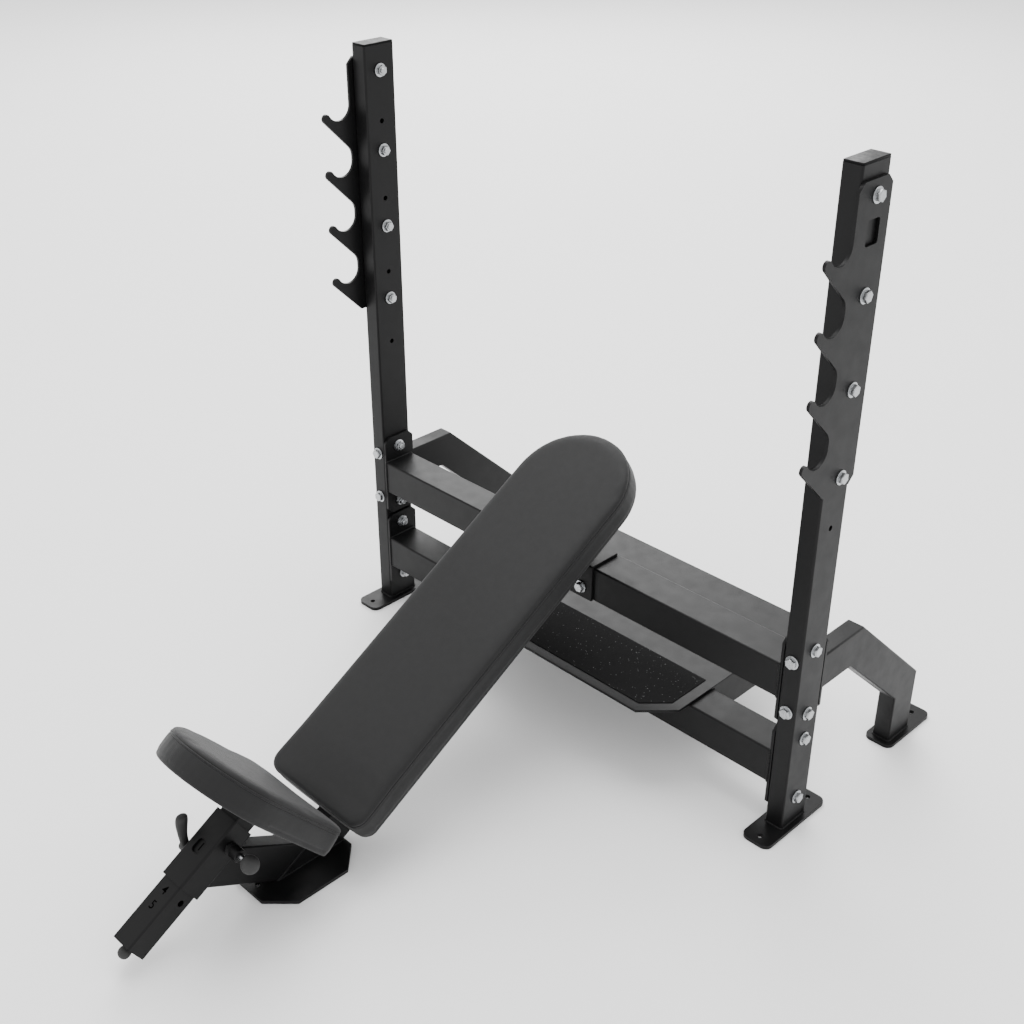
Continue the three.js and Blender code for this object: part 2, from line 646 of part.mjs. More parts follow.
// A moulded plug in the post's lower end, with a round bumper on it.
function postBumper() {
  const radius = 12;
  const dome = new THREE.SphereGeometry(radius, 16, 8).translate(0, POST.low - 10, POST.centre);
  const stem = rod(Y, POST.low - 10, POST.low + 4, radius, [0, 0, POST.centre], 16);
  const inside = POST.size / 2 - WALL - GAP;
  const plug = box(
    [-inside + 2, POST.low + GAP, POST.centre - inside + 2],
    [inside - 2, POST.low + 8, POST.centre + inside - 2]
  );
  return joined([plug, stem, dome]);
}

function seatPlate() {
  const { halfWidth, rear, front, corner } = SEAT_PLATE;
  const outline = roundedRect(-halfWidth, front, halfWidth, rear, corner);
  return alongZ(outline, SEAT_UNDER - GAP - SEAT.plate, SEAT_UNDER - GAP, 3);
}

// ---- pop-pin ------------------------------------------------------------------------------
// Radii of the turned parts, and where they lie along X from the sleeve outwards.
const PIN = { tip: 26.5, radius: 6, shoulder: 8.6, shoulderAt: 46, shoulderEnd: 49 };
const BARREL = { start: 30.3, end: 62, radius: 13.5, bore: 9.2, chamber: [33.3, 59] };
const KNOB = { centre: 91, radius: 18, bore: 6.3, boreEnd: 87 };
const PIN_OFFSET = -4; // the pin's axis lies this far below the post's

// A turned part: its profile is [radius, x] pairs, and it is placed on the pin's axis.
function turned(profile, sides = 20) {
  const geometry = new THREE.LatheGeometry(
    profile.map(([radius, x]) => new THREE.Vector2(radius, x)),
    sides
  );
  geometry.rotateZ(-Math.PI / 2);
  return geometry.translate(0, PIN_ALONG, POST.centre + PIN_OFFSET);
}

function barrel() {
  const { start, end, radius, bore, chamber } = BARREL;
  const hole = PIN.radius + 0.4;
  return turned([
    [hole, start],
    [radius - 1, start],
    [radius, start + 1],
    [radius, end - 1],
    [radius - 1, end],
    [hole, end],
    [hole, chamber[1]],
    [bore, chamber[1]],
    [bore, chamber[0]],
    [hole, chamber[0]],
    [hole, start],
  ]);
}

function plunger() {
  const { tip, radius, shoulder, shoulderAt, shoulderEnd } = PIN;
  const end = KNOB.boreEnd - GAP;
  return turned([
    [0, tip],
    [radius - 1, tip],
    [radius, tip + 1],
    [radius, shoulderAt],
    [shoulder, shoulderAt],
    [shoulder, shoulderEnd],
    [radius, shoulderEnd],
    [radius, end],
    [0, end],
  ], 14);
}

function knob() {
  const { centre, radius, bore, boreEnd } = KNOB;
  const flat = Math.asin((bore + 1) / radius); // where the ball is faced off round its bore
  const profile = [[0, boreEnd], [bore, boreEnd], [bore, centre - radius * Math.cos(flat)]];
  const steps = 10;
  for (let i = 0; i <= steps; i += 1) {
    const angle = flat + ((Math.PI - flat) * i) / steps;
    const ring = i === steps ? 0 : radius * Math.sin(angle);
    profile.push([ring, centre - radius * Math.cos(angle)]);
  }
  return turned(profile);
}

// The spring between the plunger's shoulder and the barrel's outer end.
function pinSpring() {
  const [turns, wire, radius] = [4, 1.2, 7.4];
  const from = PIN.shoulderEnd + GAP + wire / 2;
  const to = BARREL.chamber[1] - GAP - wire / 2;
  class Coil extends THREE.Curve {
    getPoint(t, target = new THREE.Vector3()) {
      const angle = 2 * Math.PI * turns * t;
      return target.set(from + (to - from) * t, radius * Math.cos(angle), radius * Math.sin(angle));
    }
  }
  const section = new THREE.Shape();
  section.absarc(0, 0, wire / 2, 0, 2 * Math.PI);
  const geometry = new THREE.ExtrudeGeometry(section, {
    extrudePath: new Coil(),
    steps: turns * 12,
    curveSegments: 5,
    bevelEnabled: false,
  });
  return geometry.translate(0, PIN_ALONG, POST.centre + PIN_OFFSET);
}

// ---- clamp lever --------------------------------------------------------------------------
const LEVER = { boss: 13, bossEnd: -38, hubStart: -40, hubEnd: -60, hubRadius: 11, reach: 64 };
const SCREW = { radius: 6, hole: 6.4, depth: 8 }; // depth: how far it reaches into the hub

function clampBoss() {
  const centre = onPost(LEVER_ALONG);
  const nut = rod(X, LEVER.bossEnd, -SLEEVE.size / 2 - GAP, LEVER.boss, centre, 6);
  return cut(nut, [rod(X, LEVER.bossEnd - PAST, -SLEEVE.size / 2 + PAST, SCREW.hole, centre)]);
}

const clampScrew = () =>
  rod(X, LEVER.hubStart - SCREW.depth, -LINER.outer / 2 - GAP, SCREW.radius, onPost(LEVER_ALONG));

// A round hub with a tapering arm that stands straight up.
function clampLever() {
  const { hubStart, hubEnd, hubRadius, reach } = LEVER;
  const hub = rod(X, hubEnd, hubStart, hubRadius, [0, 0, 0], 32);
  const profile = [
    [0, 2],
    [6, 2],
    [5.5, 20],
    [6.5, reach - 18],
    [8.5, reach - 6],
    [7.5, reach + 3],
    [4, reach + 7],
    [0, reach + 8],
  ];
  const arm = new THREE.LatheGeometry(
    profile.map(([radius, height]) => new THREE.Vector2(radius, height)),
    14
  );
  arm.rotateX(Math.PI / 2 - INCLINE);
  arm.translate((hubStart + hubEnd) / 2, 0, 0);
  const screwEnd = hubStart - SCREW.depth - GAP;
  const screwHole = rod(X, screwEnd, hubStart + PAST, SCREW.radius + GAP, [0, 0, 0]);
  return cut(joined([hub, arm]), [screwHole]).translate(0, LEVER_ALONG, POST.centre);
}

// ---- assembly -----------------------------------------------------------------------------
addPair('upright', upright(), POWDER);
addPair('upright_foot', uprightFoot(), POWDER);
addPair('upright_cap', uprightCap(), PLASTIC);
addPair('rack_plate', rackPlate(), POWDER);
addPair('rear_leg', rearLeg(), POWDER);

RACK_BOLTS.forEach((height, i) => {
  const far = UPRIGHT_OUTER + GAP + RACK_THICKNESS;
  addPair(`rack_bolt_${i + 1}`, bolt(X, UPRIGHT_INNER, far, [0, 0, height]), ZINC);
});
flangeBoltHeights.forEach((height, i) => {
  const near = UPRIGHT_INNER - GAP - FLANGE_THICKNESS;
  addPair(`cross_bolt_${i + 1}`, bolt(X, near, UPRIGHT_OUTER, [0, 0, height]), ZINC);
});
LEG_BOLTS.forEach((height, i) => {
  const rear = UPRIGHT_FACE + GAP + LEG_FLANGE.thickness;
  const backwards = Y.clone().negate();
  const centre = [UPRIGHT_X, 0, height];
  addPair(`leg_bolt_${i + 1}`, bolt(backwards, -rear, UPRIGHT_FACE, centre), ZINC);
});

const saddleBoltHoles = [-SADDLE.boltX, SADDLE.boltX].map((x) =>
  rod(Y, -CROSS.width / 2 - PAST, CROSS.width / 2 + PAST, BOLT_HOLE, [x, 0, SADDLE.boltZ])
);
add(bench, 'upper_crossmember', crossmember(CROSS_HEIGHTS.upper, saddleBoltHoles), POWDER());
add(bench, 'lower_crossmember', crossmember(CROSS_HEIGHTS.lower), POWDER());
add(bench, 'spotter_platform', platform(), POWDER());
add(bench, 'platform_grip', platformGrip(), RUBBER());
add(bench, 'spine', spine(), POWDER());
add(bench, 'saddle', saddle(), POWDER());
add(bench, 'neck', neck(), POWDER());
add(bench, 'front_foot', frontFoot(), POWDER());
addPair(
  'saddle_bolt',
  bolt(Y.clone().negate(), -CROSS.width / 2, -SADDLE_FRONT, [SADDLE.boltX, 0, SADDLE.boltZ]),
  ZINC
);

PAD_MOUNTS.forEach((along, i) => {
  add(slope, `pad_mount_${i + 1}`, padMount(along), POWDER());
});
add(slope, 'back_pad_board', backPadBoard(), PLYWOOD());
add(slope, 'back_pad', backPad(), VINYL());

add(slope, 'seat_sleeve', sleeve(), POWDER());
add(slope, 'sleeve_liner', liner(), PLASTIC());
add(slope, 'seat_post', post(), POWDER());
add(slope, 'post_bumper', postBumper(), RUBBER());
add(seat, 'seat_plate', seatPlate(), POWDER());
add(seat, 'seat_pad_board', seatPadBoard(), PLYWOOD());
add(seat, 'seat_pad', seatPad(), VINYL());

add(slope, 'pop_pin_barrel', barrel(), POWDER());
add(slope, 'pop_pin_plunger', plunger(), ZINC());
add(slope, 'pop_pin_spring', pinSpring(), ZINC());
add(slope, 'pop_pin_knob', knob(), PLASTIC());
add(slope, 'clamp_boss', clampBoss(), POWDER());
add(slope, 'clamp_screw', clampScrew(), ZINC());
add(slope, 'clamp_lever', clampLever(), PLASTIC());

const extent = new THREE.Box3().setFromObject(bench);
bench.position.y = -(extent.min.y + extent.max.y) / 2;
const wholeBench = new THREE.Group();
wholeBench.add(bench);

export default wholeBench;
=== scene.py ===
"""Incline bench press: finishes, pads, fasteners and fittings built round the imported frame."""

import math

import bmesh
import bpy
import numpy as np
from mathutils import Matrix, Vector, noise
from mathutils.kdtree import KDTree


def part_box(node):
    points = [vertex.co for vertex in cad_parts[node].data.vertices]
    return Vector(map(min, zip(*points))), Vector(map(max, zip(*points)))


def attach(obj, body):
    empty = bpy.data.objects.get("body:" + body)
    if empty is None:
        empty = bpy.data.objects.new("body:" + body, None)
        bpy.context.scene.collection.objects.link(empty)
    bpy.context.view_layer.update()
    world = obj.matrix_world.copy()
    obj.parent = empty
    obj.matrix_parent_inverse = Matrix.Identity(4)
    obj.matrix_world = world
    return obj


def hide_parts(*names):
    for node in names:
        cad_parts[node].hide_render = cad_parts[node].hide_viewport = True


bl_info = {
    "name": "Incline Bench Press",
    "version": (1, 0, 0),
    "blender": (4, 5, 0),
    "location": "3D View > Sidebar > Bench",
    "description": "Finishes, pads, fasteners and fittings of an incline bench press",
    "category": "Object",
}

MM = 0.001
SLOPE = math.radians(30)
SEAT_TILT = math.radians(50)

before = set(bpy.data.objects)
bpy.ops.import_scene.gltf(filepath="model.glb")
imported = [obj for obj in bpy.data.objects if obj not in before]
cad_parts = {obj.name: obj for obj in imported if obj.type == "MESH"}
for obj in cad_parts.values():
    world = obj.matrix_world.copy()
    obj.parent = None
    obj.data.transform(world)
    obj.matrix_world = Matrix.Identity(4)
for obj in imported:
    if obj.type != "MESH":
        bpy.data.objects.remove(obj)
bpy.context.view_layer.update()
UPRIGHT_LOW, UPRIGHT_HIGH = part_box("upright_right")
UPRIGHT_PLANE_Y = (UPRIGHT_LOW.y + UPRIGHT_HIGH.y) / 2
UPRIGHT_X = (UPRIGHT_LOW.x + UPRIGHT_HIGH.x) / 2

# Local frames, in millimetres: the slope's Y runs up the back pad and its Z stands off it. The
# seat's Y runs towards its rear edge and its Z stands off its top.
BENCH_FRAME = Matrix.Translation((0, UPRIGHT_PLANE_Y, 0)) @ Matrix.Scale(MM, 4)
SLOPE_FRAME = BENCH_FRAME @ Matrix.Rotation(SLOPE, 4, "X")
SEAT_FRAME = BENCH_FRAME @ Matrix.Rotation(-SEAT_TILT, 4, "X")
POST_AXIS = 617  # distance of the post's centre line from the slope frame's origin

# Places in millimetres: heights, distances to the rear, and distances along the slope.
FOOT_TOP = 8
CROSS_HEIGHTS = {"upper": 354, "lower": 145}
FLANGE_FACE_X = 571.4
LEG_FOOT_Y = 392
TUBE_HALF = (20, 40)
CROSS_HALF = (40, 40)
NECK_AT_SPINE = (-679.4, 427.3)  # along the slope, and off it
NECK_AT_SLEEVE = (-771.9, 587)
PIN_ALONG = -731.5
LEVER_ALONG = -780
WINDOW_ALONG = -763
POSITION_PITCH = 32
POST_LOW = -974
POST_TOP_FACE = POST_AXIS + 25.05


# ---- settings a user would change ----------------------------------------------------------
class BenchFinish(bpy.types.PropertyGroup):
    """Colours of the bench."""

    coat: bpy.props.FloatVectorProperty(
        name="Powder coat",
        description="Colour of the coated steel",
        default=(0.0044, 0.0044, 0.0046),
        subtype="COLOR",
        min=0,
        max=1,
    )
    vinyl: bpy.props.FloatVectorProperty(
        name="Pad vinyl",
        description="Colour of the pad covers",
        default=(0.0095, 0.0095, 0.0098),
        subtype="COLOR",
        min=0,
        max=1,
    )
    zinc: bpy.props.FloatVectorProperty(
        name="Zinc",
        description="Colour of the plated fasteners",
        default=(0.42, 0.43, 0.44),
        subtype="COLOR",
        min=0,
        max=1,
    )
    grip: bpy.props.FloatVectorProperty(
        name="Anti-slip sheet",
        description="Colour of the gritty sheet on the platform",
        default=(0.0085, 0.0085, 0.0087),
        subtype="COLOR",
        min=0,
        max=1,
    )


class BenchShape(bpy.types.PropertyGroup):
    """Sizes of the soft and the rounded shapes."""

    edge_round: bpy.props.FloatProperty(
        name="Edge rounding",
        description="Rounding of the steel plates' edges",
        default=0.9 * MM,
        unit="LENGTH",
        min=0,
        max=3 * MM,
    )
    pad_voxel: bpy.props.FloatProperty(
        name="Pad mesh size",
        description="Mesh size at which the pads are simulated",
        default=5 * MM,
        unit="LENGTH",
        min=3 * MM,
        max=10 * MM,
    )
    pad_swell: bpy.props.FloatProperty(
        name="Pad swell",
        description="Furthest that a pad's cover may move as its foam fills it",
        default=3.2 * MM,
        unit="LENGTH",
        min=0,
        max=10 * MM,
    )
    welt: bpy.props.FloatProperty(
        name="Welt radius",
        description="Radius of the sewn welt round each pad",
        default=1.9 * MM,
        unit="LENGTH",
        min=0.5 * MM,
        max=4 * MM,
    )
    bead: bpy.props.FloatProperty(
        name="Weld bead radius",
        description="Radius of the weld beads",
        default=2.6 * MM,
        unit="LENGTH",
        min=1 * MM,
        max=5 * MM,
    )


class BenchStage(bpy.types.PropertyGroup):
    """Floor, lights and camera."""

    floor: bpy.props.FloatVectorProperty(
        name="Floor",
        description="Colour of the floor",
        default=(0.93, 0.93, 0.93),
        subtype="COLOR",
        min=0,
        max=1,
    )
    sky: bpy.props.FloatProperty(
        name="Room light",
        description="Strength of the even light from all round",
        default=1.6,
        min=0,
        max=5,
    )
    key: bpy.props.FloatProperty(
        name="Key light",
        description="Power of the large light behind",
        default=540,
        unit="POWER",
        min=0,
        max=2000,
    )
    lens: bpy.props.FloatProperty(
        name="Lens",
        description="Focal length of the camera",
        default=50,
        unit="CAMERA",
        min=10,
        max=200,
    )


# ---- working in object and edit mode -------------------------------------------------------
def only(*objects):
    """Selects these objects and nothing else. The last one is the active one."""
    bpy.ops.object.select_all(action="DESELECT")
    for piece in objects:
        piece.select_set(True)
        bpy.context.view_layer.objects.active = piece


def pick(piece, kind, wanted):
    """Enters edit mode with just the wanted faces or edges selected. wanted takes one of them."""
    only(piece)
    bpy.ops.object.mode_set(mode="EDIT")
    bpy.ops.mesh.select_mode(type="FACE" if kind == "faces" else "EDGE")
    bpy.ops.mesh.select_all(action="DESELECT")
    mesh = bmesh.from_edit_mesh(piece.data)
    for part in getattr(mesh, kind):
        part.select_set(wanted(part))
    bmesh.update_edit_mesh(piece.data)


def runs_along(edge, axis, least):
    """Whether an edge covers more than a distance along an axis."""
    first, second = edge.verts
    return abs(first.co[axis] - second.co[axis]) > least


def leave_edit():
    bpy.ops.object.mode_set(mode="OBJECT")


def named(name):
    """Gives the primitive that was just added its name."""
    piece = bpy.context.active_object
    piece.name = name
    piece.data.name = name
    return piece


def cylinder(name, radius, low, high, sides=32):
    """A cylinder along X, from one X to another, in millimetres."""
    bpy.ops.mesh.primitive_cylinder_add(
        vertices=sides,
        radius=radius,
        depth=high - low,
        location=((low + high) / 2, 0, 0),
        rotation=(0, math.pi / 2, 0),
    )
    return freeze(named(name))


def freeze(piece):
    """Puts a piece's turn, scale and place into its mesh."""
    only(piece)
    bpy.ops.object.transform_apply(location=True, rotation=True, scale=True)
    return piece


def bevel_edges(piece, wanted, offset, segments=2):
    """Bevels the edges that wanted picks out."""
    pick(piece, "edges", wanted)
    bpy.ops.mesh.bevel(offset=offset, segments=segments, affect="EDGES")
    leave_edit()


def face_outwards(piece, merge=None):
    """Merges the vertices that lie within a distance, if one is given, and turns all faces out."""
    only(piece)
    bpy.ops.object.mode_set(mode="EDIT")
    bpy.ops.mesh.select_all(action="SELECT")
    if merge:
        bpy.ops.mesh.remove_doubles(threshold=merge)
        bpy.ops.mesh.select_all(action="SELECT")
    bpy.ops.mesh.normals_make_consistent(inside=False)
    leave_edit()


def put(piece, place):
    """Moves a mesh drawn in millimetres to its place, and leaves the object at the origin."""
    piece.data.transform(place)
    piece.data.update()
    return piece


def join(name, *pieces):
    only(*pieces)
    bpy.ops.object.join()
    return named(name)


def smooth(piece, degrees=35):
    only(piece)
    bpy.ops.object.shade_smooth_by_angle(angle=math.radians(degrees))


def finish(piece, material, slot, body, *nodes):
    """Gives a finished piece its material, its body and the nodes it stands for."""
    piece.data.materials.clear()
    piece.data.materials.append(material)
    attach(piece, body)
    if nodes:
        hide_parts(*nodes)
    return piece


def apply_modifiers(piece):
    only(piece)
    for modifier in list(piece.modifiers):
        bpy.ops.object.modifier_apply(modifier=modifier.name)


def copy_of(node, name):
    """A merged copy of a CAD node, free to be reshaped."""
    only(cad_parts[node])
    bpy.ops.object.duplicate()
    piece = named(name)
    piece.parent = None
    for key in list(piece.keys()):
        del piece[key]
    only(piece)
    bpy.ops.object.mode_set(mode="EDIT")
    bpy.ops.mesh.select_all(action="SELECT")
    bpy.ops.mesh.remove_doubles(threshold=1e-5)
    bpy.ops.object.mode_set(mode="OBJECT")
    return piece


# ---- materials -----------------------------------------------------------------------------
class Recipe:
    """A material under construction: a shader, and patterns in the bench's own metres."""

    def __init__(self, name, color, roughness, metallic=0.0):
        self.material = bpy.data.materials.new(name)
        self.material.use_nodes = True
        self.nodes = self.material.node_tree.nodes
        self.links = self.material.node_tree.links
        self.shader = self.nodes["Principled BSDF"]
        self.shader.inputs["Base Color"].default_value = (*color, 1)
        self.shader.inputs["Roughness"].default_value = roughness
        self.shader.inputs["Metallic"].default_value = metallic
        self.coords = self.nodes.new("ShaderNodeTexCoord").outputs["Object"]
        self.height = None

    def noise(self, per_metre, detail=3.0, roughness=0.5):
        texture = self.nodes.new("ShaderNodeTexNoise")
        texture.inputs["Scale"].default_value = per_metre
        texture.inputs["Detail"].default_value = detail
        texture.inputs["Roughness"].default_value = roughness
        self.links.new(self.coords, texture.inputs["Vector"])
        return texture.outputs["Fac"]

    def cells(self, per_metre, feature="F1"):
        texture = self.nodes.new("ShaderNodeTexVoronoi")
        texture.feature = feature
        texture.inputs["Scale"].default_value = per_metre
        self.links.new(self.coords, texture.inputs["Vector"])
        return texture.outputs["Distance"]

    def span(self, value, low, high, to_low, to_high):
        """Maps part of a pattern's range to another range, held at its ends."""
        ramp = self.nodes.new("ShaderNodeMapRange")
        for key, number in (
            ("From Min", low),
            ("From Max", high),
            ("To Min", to_low),
            ("To Max", to_high),
        ):
            ramp.inputs[key].default_value = number
        self.links.new(value, ramp.inputs["Value"])
        return ramp.outputs["Result"]

    def blend(self, factor, low_color, high_color):
        mix = self.nodes.new("ShaderNodeMix")
        mix.data_type = "RGBA"
        mix.inputs["A"].default_value = (*low_color, 1)
        mix.inputs["B"].default_value = (*high_color, 1)
        self.links.new(factor, mix.inputs["Factor"])
        return mix.outputs["Result"]

    def shade(self, value):
        self.links.new(value, self.shader.inputs["Base Color"])

    def gloss(self, value):
        self.links.new(value, self.shader.inputs["Roughness"])

    def bump(self, value, strength, distance):
        """Adds a layer of relief on top of those already there."""
        node = self.nodes.new("ShaderNodeBump")
        node.inputs["Strength"].default_value = strength
        node.inputs["Distance"].default_value = distance
        self.links.new(value, node.inputs["Height"])
        if self.height:
            self.links.new(self.height, node.inputs["Normal"])
        self.height = node.outputs["Normal"]
        self.links.new(self.height, self.shader.inputs["Normal"])


def lighter(color, factor):
    return tuple(min(1.0, c * factor) for c in color)


def powder_coat(color):
    recipe = Recipe("powder_coat", color, 0.42)
    recipe.shader.inputs["Specular IOR Level"].default_value = 0.16
    clouds = recipe.noise(9, 4)
    recipe.shade(recipe.blend(clouds, lighter(color, 0.9), lighter(color, 1.1)))
    recipe.gloss(recipe.span(recipe.noise(35, 4), 0.3, 0.7, 0.4, 0.47))
    recipe.bump(recipe.noise(520, 2), 0.22, 0.0004)
    recipe.bump(recipe.noise(1500, 1), 0.12, 0.0002)
    return recipe.material


def pad_vinyl(color):
    recipe = Recipe("pad_vinyl", color, 0.62)
    recipe.shader.inputs["Specular IOR Level"].default_value = 0.2
    recipe.shader.inputs["Sheen Weight"].default_value = 0.08
    recipe.shader.inputs["Sheen Roughness"].default_value = 0.5
    recipe.shade(recipe.blend(recipe.noise(5, 2), lighter(color, 0.95), lighter(color, 1.05)))
    recipe.gloss(recipe.span(recipe.noise(60, 3), 0.3, 0.7, 0.6, 0.66))
    recipe.bump(recipe.noise(6, 1), 0.12, 0.003)
    recipe.bump(recipe.cells(620, "DISTANCE_TO_EDGE"), 0.45, 0.0006)
    recipe.bump(recipe.noise(1800, 2), 0.2, 0.0002)
    return recipe.material


def zinc_plate(color):
    recipe = Recipe("zinc_plate", color, 0.3, 1.0)
    recipe.shade(recipe.blend(recipe.noise(160, 4), lighter(color, 0.82), lighter(color, 1.1)))
    recipe.gloss(recipe.span(recipe.noise(240, 3), 0.3, 0.7, 0.2, 0.38))
    recipe.bump(recipe.noise(900, 2), 0.1, 0.0002)
    return recipe.material


def spring_wire():
    recipe = Recipe("spring_wire", (0.45, 0.45, 0.46), 0.35, 1.0)
    recipe.gloss(recipe.span(recipe.noise(700, 2), 0.3, 0.7, 0.25, 0.45))
    return recipe.material


def anti_slip(color):
    recipe = Recipe("anti_slip_sheet", color, 0.85)
    recipe.shader.inputs["Specular IOR Level"].default_value = 0.06
    grains = recipe.cells(190)
    flecks = recipe.span(grains, 0.16, 0.26, 1, 0)
    patches = recipe.span(recipe.noise(120, 2), 0.56, 0.62, 0, 1)
    both = recipe.nodes.new("ShaderNodeMath")
    both.operation = "MULTIPLY"
    recipe.links.new(flecks, both.inputs[0])
    recipe.links.new(patches, both.inputs[1])
    recipe.shade(recipe.blend(both.outputs["Value"], color, lighter(color, 13)))
    recipe.bump(recipe.cells(700), 0.6, 0.0008)
    recipe.bump(recipe.noise(300, 3), 0.4, 0.0008)
    return recipe.material


def moulded_plastic():
    color = (0.004, 0.004, 0.0042)
    recipe = Recipe("moulded_plastic", color, 0.38)
    recipe.shader.inputs["Specular IOR Level"].default_value = 0.05
    recipe.shade(recipe.blend(recipe.noise(40, 3), lighter(color, 0.8), lighter(color, 1.4)))
    recipe.gloss(recipe.span(recipe.noise(90, 3), 0.3, 0.7, 0.3, 0.46))
    recipe.bump(recipe.noise(1400, 2), 0.15, 0.0002)
    return recipe.material


def soft_rubber():
    color = (0.012, 0.012, 0.012)
    recipe = Recipe("soft_rubber", color, 0.7)
    recipe.shade(recipe.blend(recipe.noise(60, 4), lighter(color, 0.8), lighter(color, 1.7)))
    recipe.bump(recipe.noise(900, 3), 0.25, 0.0003)
    return recipe.material


def dust_cloth():
    color = (0.02, 0.02, 0.021)
    recipe = Recipe("dust_cloth", color, 0.95)
    fibres = recipe.noise(900, 5, 0.7)
    recipe.shade(recipe.blend(fibres, lighter(color, 0.6), lighter(color, 1.9)))
    recipe.bump(fibres, 0.5, 0.0005)
    recipe.bump(recipe.cells(300), 0.4, 0.0004)
    return recipe.material


# Near-black matt colour of the position digits: painted shade standing in for the shadow inside
# digits cut through the post, not a paint the post has.
def painted_cutout_shade():
    recipe = Recipe("position_digits", (0.0004, 0.0004, 0.0004), 0.9)
    recipe.shader.inputs["Specular IOR Level"].default_value = 0
    recipe.gloss(recipe.span(recipe.noise(400, 2), 0.3, 0.7, 0.7, 0.9))
    recipe.bump(recipe.noise(800, 2), 0.1, 0.0002)
    return recipe.material


def studio_floor(color):
    recipe = Recipe("studio_floor", color, 0.9)
    recipe.shade(recipe.blend(recipe.noise(2, 2), lighter(color, 0.99), lighter(color, 1.01)))
    return recipe.material


MATERIALS = {}


def material(name):
    """Each material is made once, from the colours in the scene's settings."""
    if name not in MATERIALS:
        colors = bpy.context.scene.bench_finish
        makers = {
            "powder_coat": lambda: powder_coat(colors.coat),
            "vinyl": lambda: pad_vinyl(colors.vinyl),
            "zinc_steel": lambda: zinc_plate(colors.zinc),
            "spring_steel": spring_wire,
            "anti_slip": lambda: anti_slip(colors.grip),
            "rubber": soft_rubber,
            "black_plastic": moulded_plastic,
            "dust_cloth": dust_cloth,
            "digits": painted_cutout_shade,
        }
        MATERIALS[name] = makers[name]()
    return MATERIALS[name]


# ---- coated steel --------------------------------------------------------------------------
STEEL = [
    "upright_right",
    "upright_left",
    "upright_foot_right",
    "upright_foot_left",
    "rack_plate_right",
    "rack_plate_left",
    "rear_leg_right",
    "rear_leg_left",
    "upper_crossmember",
    "lower_crossmember",
    "spotter_platform",
    "spine",
    "saddle",
    "neck",
    "front_foot",
    "pad_mount_1",
    "pad_mount_2",
    "seat_sleeve",
    "seat_post",
    "seat_plate",
]


def soften_node(name, radius, finish_name):
    """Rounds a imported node's edges with live modifiers, and gives it its material."""
    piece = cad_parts[name]
    only(piece)
    bpy.ops.object.shade_smooth()
    weld = piece.modifiers.new("merge", "WELD")
    weld.merge_threshold = 1e-5
    bevel = piece.modifiers.new("edge_round", "BEVEL")
    bevel.width = radius
    bevel.segments = 2
    bevel.limit_method = "ANGLE"
    bevel.angle_limit = math.radians(50)
    piece.data.materials.clear()
    piece.data.materials.append(material(finish_name))
    return piece.modifiers.new("even_normals", "WEIGHTED_NORMAL")


class BENCH_OT_coated_steel(bpy.types.Operator):
    """Rounds the edges of the steel tubes and plates, and coats them"""

    bl_idname = "bench.coated_steel"
    bl_label = "Coated steel"

    def execute(self, context):
        radius = context.scene.bench_shape.edge_round
        for name in STEEL:
            normals = soften_node(name, radius, "powder_coat")
            normals.keep_sharp = True
            normals.weight = 80
        return {"FINISHED"}


SMALL_EDGE = 0.3 * MM


class BENCH_OT_small_nodes(bpy.types.Operator):
    """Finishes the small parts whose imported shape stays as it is"""

    bl_idname = "bench.small_nodes"
    bl_label = "Small parts"

    def execute(self, context):
        finishes = {
            "platform_grip": "anti_slip",
            "sleeve_liner": "black_plastic",
            "pop_pin_spring": "spring_steel",
            "clamp_screw": "zinc_steel",
            "clamp_boss": "powder_coat",
        }
        for name, finish_name in finishes.items():
            soften_node(name, SMALL_EDGE, finish_name)
        return {"FINISHED"}


# ---- bolts ---------------------------------------------------------------------------------
HEX_RADIUS = 11.2
HEAD = 8
WASHER_RADIUS = 14.2
WASHER = 2.5
NUT = 9
TAIL = 4
SHANK_RADIUS = 6


def hexagon(name, low, high, outer_end):
    """A hexagon head or nut whose outer end is turned down to a round face."""
    block = cylinder(name, HEX_RADIUS, low, high, 6)
    at_end = high if outer_end > 0 else low
    pick(block, "faces", lambda f: abs(f.calc_center_median().x - at_end) < 0.01)
    bpy.ops.mesh.inset(thickness=0.9, depth=0)
    leave_edit()

    def outer_rim(edge):
        ends = [v.co for v in edge.verts]
        return all(abs(co.x - at_end) < 0.01 and co.yz.length > HEX_RADIUS - 0.5 for co in ends)

    bevel_edges(block, outer_rim, 1.1)
    bevel_edges(block, lambda e: runs_along(e, 0, 2), 0.35)
    return block


def washer(name, low, high):
    disc = cylinder(name, WASHER_RADIUS, low, high, 40)
    bevel_edges(disc, lambda e: len(e.link_faces) == 2 and e.calc_face_angle(0) > 1, 0.5)
    return disc


def threaded_end(name, low, high, radius=SHANK_RADIUS, pitch=1.6):
    """A shank whose surface is cut into rings like a thread, from one X to another."""
    shank = cylinder(name, radius, low, high, 20)
    rings = max(2, int((high - low) / pitch * 2))
    pick(shank, "edges", lambda e: runs_along(e, 0, 1))
    bpy.ops.mesh.subdivide(number_cuts=rings)
    leave_edit()
    stations = sorted({round(v.co.x, 3) for v in shank.data.vertices})
    for vertex in shank.data.vertices:
        index = stations.index(round(vertex.co.x, 3))
        if index % 2 and vertex.co.yz.length > radius / 2:
            vertex.co.y *= 0.9
            vertex.co.z *= 0.9
    return shank


